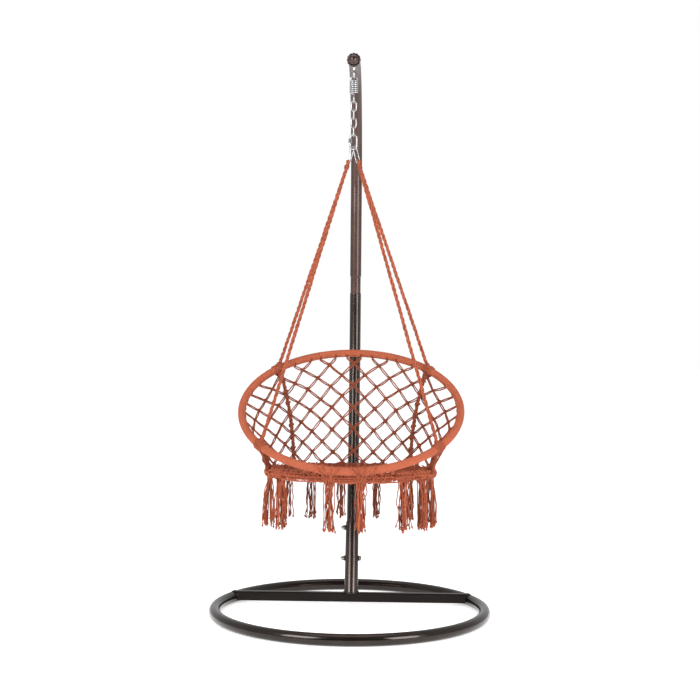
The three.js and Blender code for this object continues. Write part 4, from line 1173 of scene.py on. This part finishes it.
def front_lashing():
    """Crossed cords that draw the hoop's front and the seat ring together, with a row of knots between."""
    p = Piece()
    for k, a in enumerate(np.arange(-118, -60.5, 3.4)):
        for lean, w, tone in ((3.2, 3.2, 0.0), (-3.2, -1.2, -0.03)):
            a0, a1 = rad(a - lean), rad(a + lean)
            h, q = HOOP.at(a0), SEAT.at(a1)
            d = unit(q - h)
            n = unit(np.cross(HOOP.e1, d))
            # leaves the hoop low on its front side, crosses, and turns under the seat ring
            P = [h + d * 8 * mm + n * 13.2 * mm, h + d * 15 * mm + n * (8.5 + w * 0.3) * mm, (h + q) / 2 + n * w * mm * 0.8,
                 q - d * 15 * mm + n * (7.5 + w * 0.3) * mm, q - d * 5 * mm + n * 13.9 * mm, q + d * 7 * mm + n * 12.6 * mm]
            sweep(p, smooth_path(P, 4 * mm), 1.7 * mm, 6, tone=tone + rng.normal(0, 0.04))
            P = [h - d * 4 * mm - n * 15.0 * mm, h + d * 7 * mm - n * 13 * mm, (h + q) / 2 - n * (2 + w * 0.4) * mm, q - d * 7 * mm - n * 12 * mm, q + d * 5 * mm - n * 13.6 * mm]
            sweep(p, smooth_path(P, 5 * mm), 1.7 * mm, 6, tone=tone - 0.04)
    aa = np.radians(np.arange(-116, -62, 6.5))
    h, q = HOOP.at(aa), SEAT.at(aa)
    d = unit(q - h)
    tan = np.broadcast_to(HOOP.e1, d.shape)
    n = unit(np.cross(tan, d))
    knots(p, (h + q) / 2, d, unit(np.cross(d, n)), n, wide=6.6 * mm, thick=5.2 * mm, bars=3, tall=3.2 * mm)
    # fans of looped cords over the hoop's face, above the two front tassels
    wh, ws = HOOP.wrap + 1.5 * mm, SEAT.wrap + 2.6 * mm

    def strand(a_seat, a_hoop, bulge, tone, r=2.0 * mm, top=100):
        ks = [(SEAT, -85, 0.0), (SEAT, -45, 0.05), (SEAT, -5, 0.15), (HOOP, -52, 0.34), (HOOP, -20, 0.52), (HOOP, 12, 0.68), (HOOP, 42, 0.82), (HOOP, 72, 0.93), (HOOP, top, 1.0), (HOOP, top + 35, 1.03)]
        P = []
        for ring, phi, u in ks:
            deg = a_seat + (a_hoop - a_seat) * u + bulge * math.sin(TAU * min(u, 1.0)) if ring is SEAT else a_seat * 0 + HOOP_OF(a_seat) + (a_hoop - HOOP_OF(a_seat)) * u + bulge * math.sin(TAU * min(u, 1.0) * 0.95)
            P.append(ring.at(rad(deg), rad(phi), wh if ring is HOOP else ws))
        sweep(p, smooth_path(P, 2.6 * mm), r, 7, tone=tone)
    # every other strand is toned lighter (0.10) and the rest darker (-0.16): painted highlight and painted shade along
    # the fans
    for a_t, spots in ((-103, (-7.2, -6.6, -3.6, -3.0, 1.0, 1.6, 5.2, 5.8)), (-81, (-5.6, -5.0, -2.2, 1.2, 1.8, 4.4, 7.0, 7.6))):
        c = HOOP_OF(a_t)
        for k, s in enumerate(spots):
            base = a_t + (-0.45 * s if k % 4 in (0, 3) else 0.3 * s) + rng.normal(0, 0.3)
            strand(base, c + s, rng.normal(0, 0.35) + (0.7 if k % 2 else -0.7), 0.10 if k % 2 else -0.16)
    # long cords left hanging a little below the seat ring, from tassel to tassel
    for a0, a1, drop, lift in ((-103, -82, 7.5, 0.0), (-104, -80, 3.4, 1.0), (-80, -49, 6.4, 0.4), (-82, -47, 2.6, 1.6), (-144, -104, 5.2, 0.6), (-141, -106, 2.4, 1.4)):
        t = np.linspace(0, 1, 40)
        a = np.radians(a0 + (a1 - a0) * t)
        P = SEAT.at(a, np.full(40, rad(-62)), np.full(40, SEAT.wrap + (2.6 + lift) * mm))
        P[:, 2] -= (drop * np.sin(math.pi * t) ** 0.7 + 0.6 * np.sin(TAU * t * 3)) * mm
        sweep(p, even(P, 5 * mm), 1.75 * mm, 6, tone=0.02)
    finish_piece(p.build("front_lashing_cords", NET_LIT), "chair", "front_lashing", slot="knotted_net")


def HOOP_OF(a_seat):
    """The hoop's angle with the same x as the seat ring's at a_seat, both at the front."""
    return -math.degrees(math.acos(max(-1, min(1, SEAT.R * math.cos(rad(a_seat)) / HOOP.R))))


TASSELS = [-172, -145, -103, -81, -49, -30, -12, 15, 42, 72, 98.5, 122, 143]


def seat_ring_knots(feet, seat_at):
    p = Piece()
    degs = sorted(set(round(x, 1) for x in feet))
    loops(p, SEAT, degs, SEAT.wrap + 1.0 * mm, 1.8 * mm, spread=2.0, lean=0.004)
    loops(p, SEAT, sorted(set(round(x) for x in seat_at)), SEAT.wrap + 0.5 * mm, 1.6 * mm, spread=1.8)
    # three two-strand cords run side by side along the outside of the ring, with the winding between them, which is
    # painted dark as shade
    a = np.radians(np.arange(-270, 90.1, 0.5))
    for t0, tone in ((-44, -0.08), (-4, 0.08), (37, -0.02)):
        t = rad(t0) + 0.10 * np.sin(a * 11 + t0) + 0.06 * np.sin(a * 29 + t0)
        P = SEAT.at(a, t, np.full(len(a), SEAT.wrap + 1.6 * mm) + 0.7 * mm * np.sin(a * 41 + t0))
        laid_rope(p, P, R=4.4 * mm, strands=2, pitch=18 * mm, sides=7, step=2.0 * mm, tone=tone, loose=0.12)
    # turns that tie them to the ring, each leaning its own way
    for deg in np.arange(-266, 90, 7.7):
        lean = rng.normal(0, 0.02)
        t = np.linspace(rad(-110), rad(85), 16)
        P = SEAT.at(rad(deg) + lean * np.sin(t * 0.9), t, np.full(16, SEAT.wrap + 5.0 * mm))
        sweep(p, P, 1.9 * mm * rng.uniform(0.85, 1.1), 6, tone=rng.normal(-0.06, 0.16))
    finish_piece(p.build("seat_ring_knots", NET_LIT), "chair", slot="knotted_net")


def tassels():
    for i, deg in enumerate(TASSELS):
        p = Piece()
        rear = 0 < deg < 180
        a = rad(deg)
        c = SEAT.at(a)
        tang = vec(-math.sin(a), math.cos(a), 0)
        rade = vec(math.cos(a), math.sin(a), 0)
        z0 = -14.2 * mm
        heads = 5
        count = 14 if rear else 22 + int(4 * abs(math.cos(a)))
        half = (16.0 if rear else 21.0 + 4 * abs(math.cos(a))) * mm
        deep = (9.5 + 11 * abs(math.cos(a))) * mm
        ends = []
        core = rng.uniform(-0.25, 0.25)          # where the thick middle hangs
        for k in range(count):
            h = k % heads
            hx = (h - (heads - 1) / 2) * (half * 0.40)
            inner = k < count * 0.6
            tx = core * half + rng.normal(0, 0.22) * half if inner else rng.uniform(0.45, 1.0) * half * (1 if k % 2 else -1)
            ty = (rng.uniform(-1, 1) * 1.05 + 0.28 * abs(math.cos(a))) * deep
            L = rng.uniform(0.150, 0.174)
            n = 22
            t = np.linspace(0, 1, n)
            fall = np.interp(t, [0, 0.10, 0.35, 0.7, 1], [0, 0.25, 0.75, 0.95, 1])
            calm = np.minimum(1, t * 4)
            wav = rng.normal(0, 2.8 * mm) * np.sin(TAU * (t * rng.uniform(0.7, 1.8) + rng.random())) * calm + rng.normal(0, 0.9 * mm) * np.sin(TAU * (t * rng.uniform(2.5, 4.5) + rng.random())) * calm
            wav2 = rng.normal(0, 1.8 * mm) * np.sin(TAU * (t * rng.uniform(0.7, 2.2) + rng.random())) * calm
            gather = 1 - 0.22 * np.sin(math.pi * np.clip((t - 0.55) / 0.45, 0, 1)) * (0 if inner else 1)
            x = (hx + (tx - hx) * fall) * gather + wav
            y = np.clip(rng.uniform(-0.45, 0.45) * deep * (1 - fall) + ty * fall + wav2, -deep - 2 * mm, deep + 7 * mm)
            x = np.clip(x, -26 * mm if not rear else -18.5 * mm, 26 * mm if not rear else 18.5 * mm)
            z = z0 - t * L
            P = c + tang * x[:, None] + rade * y[:, None]
            P[:, 2] = c[2] + z
            sweep(p, P, 1.85 * mm, 7, tone=rng.normal(-0.03, 0.15))
            ends.append(P[-1])
        # an overhand knot and a short frayed end on each strand
        for e in ends:
            t = TAU * np.arange(10) / 10
            for tilt2, dz in ((0.5, 0.0), (-0.5, -2.4 * mm)):
                P = e + np.stack([2.3 * mm * np.cos(t), 2.3 * mm * np.sin(t), dz + tilt2 * 2.6 * mm * np.cos(t)], 1)
                sweep(p, P, 1.75 * mm, 6, closed=True, tone=0.02)
            w = rng.normal(0, 2.0, 2) * mm
            sweep(p, np.array([e, e + vec(w[0] * 0.4, w[1] * 0.4, -5.0 * mm), e + vec(w[0], w[1], -8.5 * mm)]), np.array([[1.6, 1.5, 0.9]]) * mm, 6, tone=0.04)
        # the knotted heads round the seat ring
        for h in range(heads):
            off = (h - (heads - 1) / 2) * (half * 0.40) / SEAT.R
            for k in (-1, 1):
                t = TAU * np.arange(28) / 28
                P = SEAT.at(a + off + k * 1.9 * mm / SEAT.R + 0.004 * np.sin(t + k), t, np.full(28, SEAT.wrap + 2.0 * mm))
                sweep(p, P, 1.9 * mm, 6, closed=True, tone=rng.normal(-0.01, 0.03))
            C = SEAT.at(a + off) + vec(0, 0, -(SEAT.wrap / mm + 4.4)) * mm
            kn = np.array([C])
            knots(p, kn, vec(0, 0, -1)[None], tang[None], rade[None], wide=3.8 * mm, thick=3.8 * mm, r=1.8 * mm, bars=2, tall=3.0 * mm)
        # the rear tassels take the darker cord copy: painted shade
        finish_piece(p.build(f"tassel_strands_{i + 1:02d}", STRAND_SHADED if rear else STRAND), "chair", f"tassel_{i + 1:02d}", slot="tassel_strands")


# ------------------------------------------------------------------ stage
def stage():
    me = bpy.data.meshes.new("floor")
    s = 14
    me.from_pydata([(-s, -s, -0.0004), (s, -s, -0.0004), (s, s, -0.0004), (-s, s, -0.0004)], [], [(0, 1, 2, 3)])
    ob = bpy.data.objects.new("floor", me)
    bpy.context.scene.collection.objects.link(ob)
    m, nt, b, node, link = new_material("floor_paper")
    tc = node("ShaderNodeTexCoord")
    n = node("ShaderNodeTexNoise", in_Scale=3.0, in_Detail=3.0)
    link(tc.outputs["Object"], n.inputs["Vector"])
    c = ramp(node, [(0.3, (0.90, 0.90, 0.90)), (0.7, (0.93, 0.93, 0.93))])
    link(n.outputs["Fac"], c.inputs["Fac"])
    link(c.outputs["Color"], b.inputs["Base Color"])
    b.inputs["Roughness"].default_value = 0.9
    b.inputs["Specular IOR Level"].default_value = 0.1
    b.inputs["Emission Color"].default_value = (1, 1, 1, 1)
    b.inputs["Emission Strength"].default_value = 0.60
    me.materials.append(m)

    w = bpy.data.worlds.new("studio")
    bpy.context.scene.world = w
    w.use_nodes = True
    nt = w.node_tree
    nt.nodes.clear()
    out = nt.nodes.new("ShaderNodeOutputWorld")
    lit = nt.nodes.new("ShaderNodeBackground")
    seen = nt.nodes.new("ShaderNodeBackground")
    lit.inputs["Color"].default_value = seen.inputs["Color"].default_value = (1, 1, 1, 1)
    mix = nt.nodes.new("ShaderNodeMixShader")
    lp = nt.nodes.new("ShaderNodeLightPath")
    tc = nt.nodes.new("ShaderNodeTexCoord")
    dot = nt.nodes.new("ShaderNodeVectorMath")
    dot.operation = "DOT_PRODUCT"
    dot.inputs[1].default_value = (0.12, -0.99, 0.06)       # the dark side of the studio, behind the camera
    nt.links.new(tc.outputs["Generated"], dot.inputs[0])
    mr = nt.nodes.new("ShaderNodeMapRange")
    mr.interpolation_type = "SMOOTHSTEP"
    mr.inputs["From Min"].default_value, mr.inputs["From Max"].default_value = 0.25, 0.80
    mr.inputs["To Min"].default_value, mr.inputs["To Max"].default_value = 0.62, 0.08
    nt.links.new(dot.outputs["Value"], mr.inputs["Value"])
    nt.links.new(mr.outputs["Result"], lit.inputs["Strength"])
    seen.inputs["Strength"].default_value = 1.0
    nt.links.new(lp.outputs["Is Camera Ray"], mix.inputs["Fac"])
    nt.links.new(lit.outputs[0], mix.inputs[1])
    nt.links.new(seen.outputs[0], mix.inputs[2])
    nt.links.new(mix.outputs[0], out.inputs["Surface"])

    def area(name, loc, target, size, power, size_y=None):
        l = bpy.data.lights.new(name, "AREA")
        l.shape = "RECTANGLE"
        l.size, l.size_y, l.energy = size, size_y or size, power
        o = bpy.data.objects.new(name, l)
        bpy.context.scene.collection.objects.link(o)
        o.location = loc
        o.rotation_euler = (Vector(target) - Vector(loc)).to_track_quat("-Z", "Y").to_euler()
    area("key_left", (-3.0, -3.6, 2.8), (0, 0, 0.8), 2.3, 178, 2.6)
    area("fill_right", (3.2, -3.2, 2.0), (0, 0, 0.8), 2.0, 150, 2.6)
    area("top_soft", (0, 0.2, 4.6), (0, 0, 0), 3.0, 34)
    sc = bpy.context.scene
    sc.view_settings.view_transform = "Standard"
    sc.view_settings.look = "None"
    sc.view_settings.exposure = 0.0
    sc.view_settings.gamma = 1.0


stage()
base_ring()
crossbar()
socket()
poles()
bolts()
finial()
eye_bolt()
spring()
cb = chain()
qz, ql = screw_link(cb)
ends = rope_rings(qz, ql)
winding(HOOP, "hoop_cord_winding", "upper_hoop", "hoop_winding")
winding(SEAT, "seat_ring_cord_winding", "seat_ring", "seat_ring_winding")
suspension(ends)
feet = back_net()
seat_at = seat_net()
front_lashing()
seat_ring_knots(feet, seat_at)
tassels()
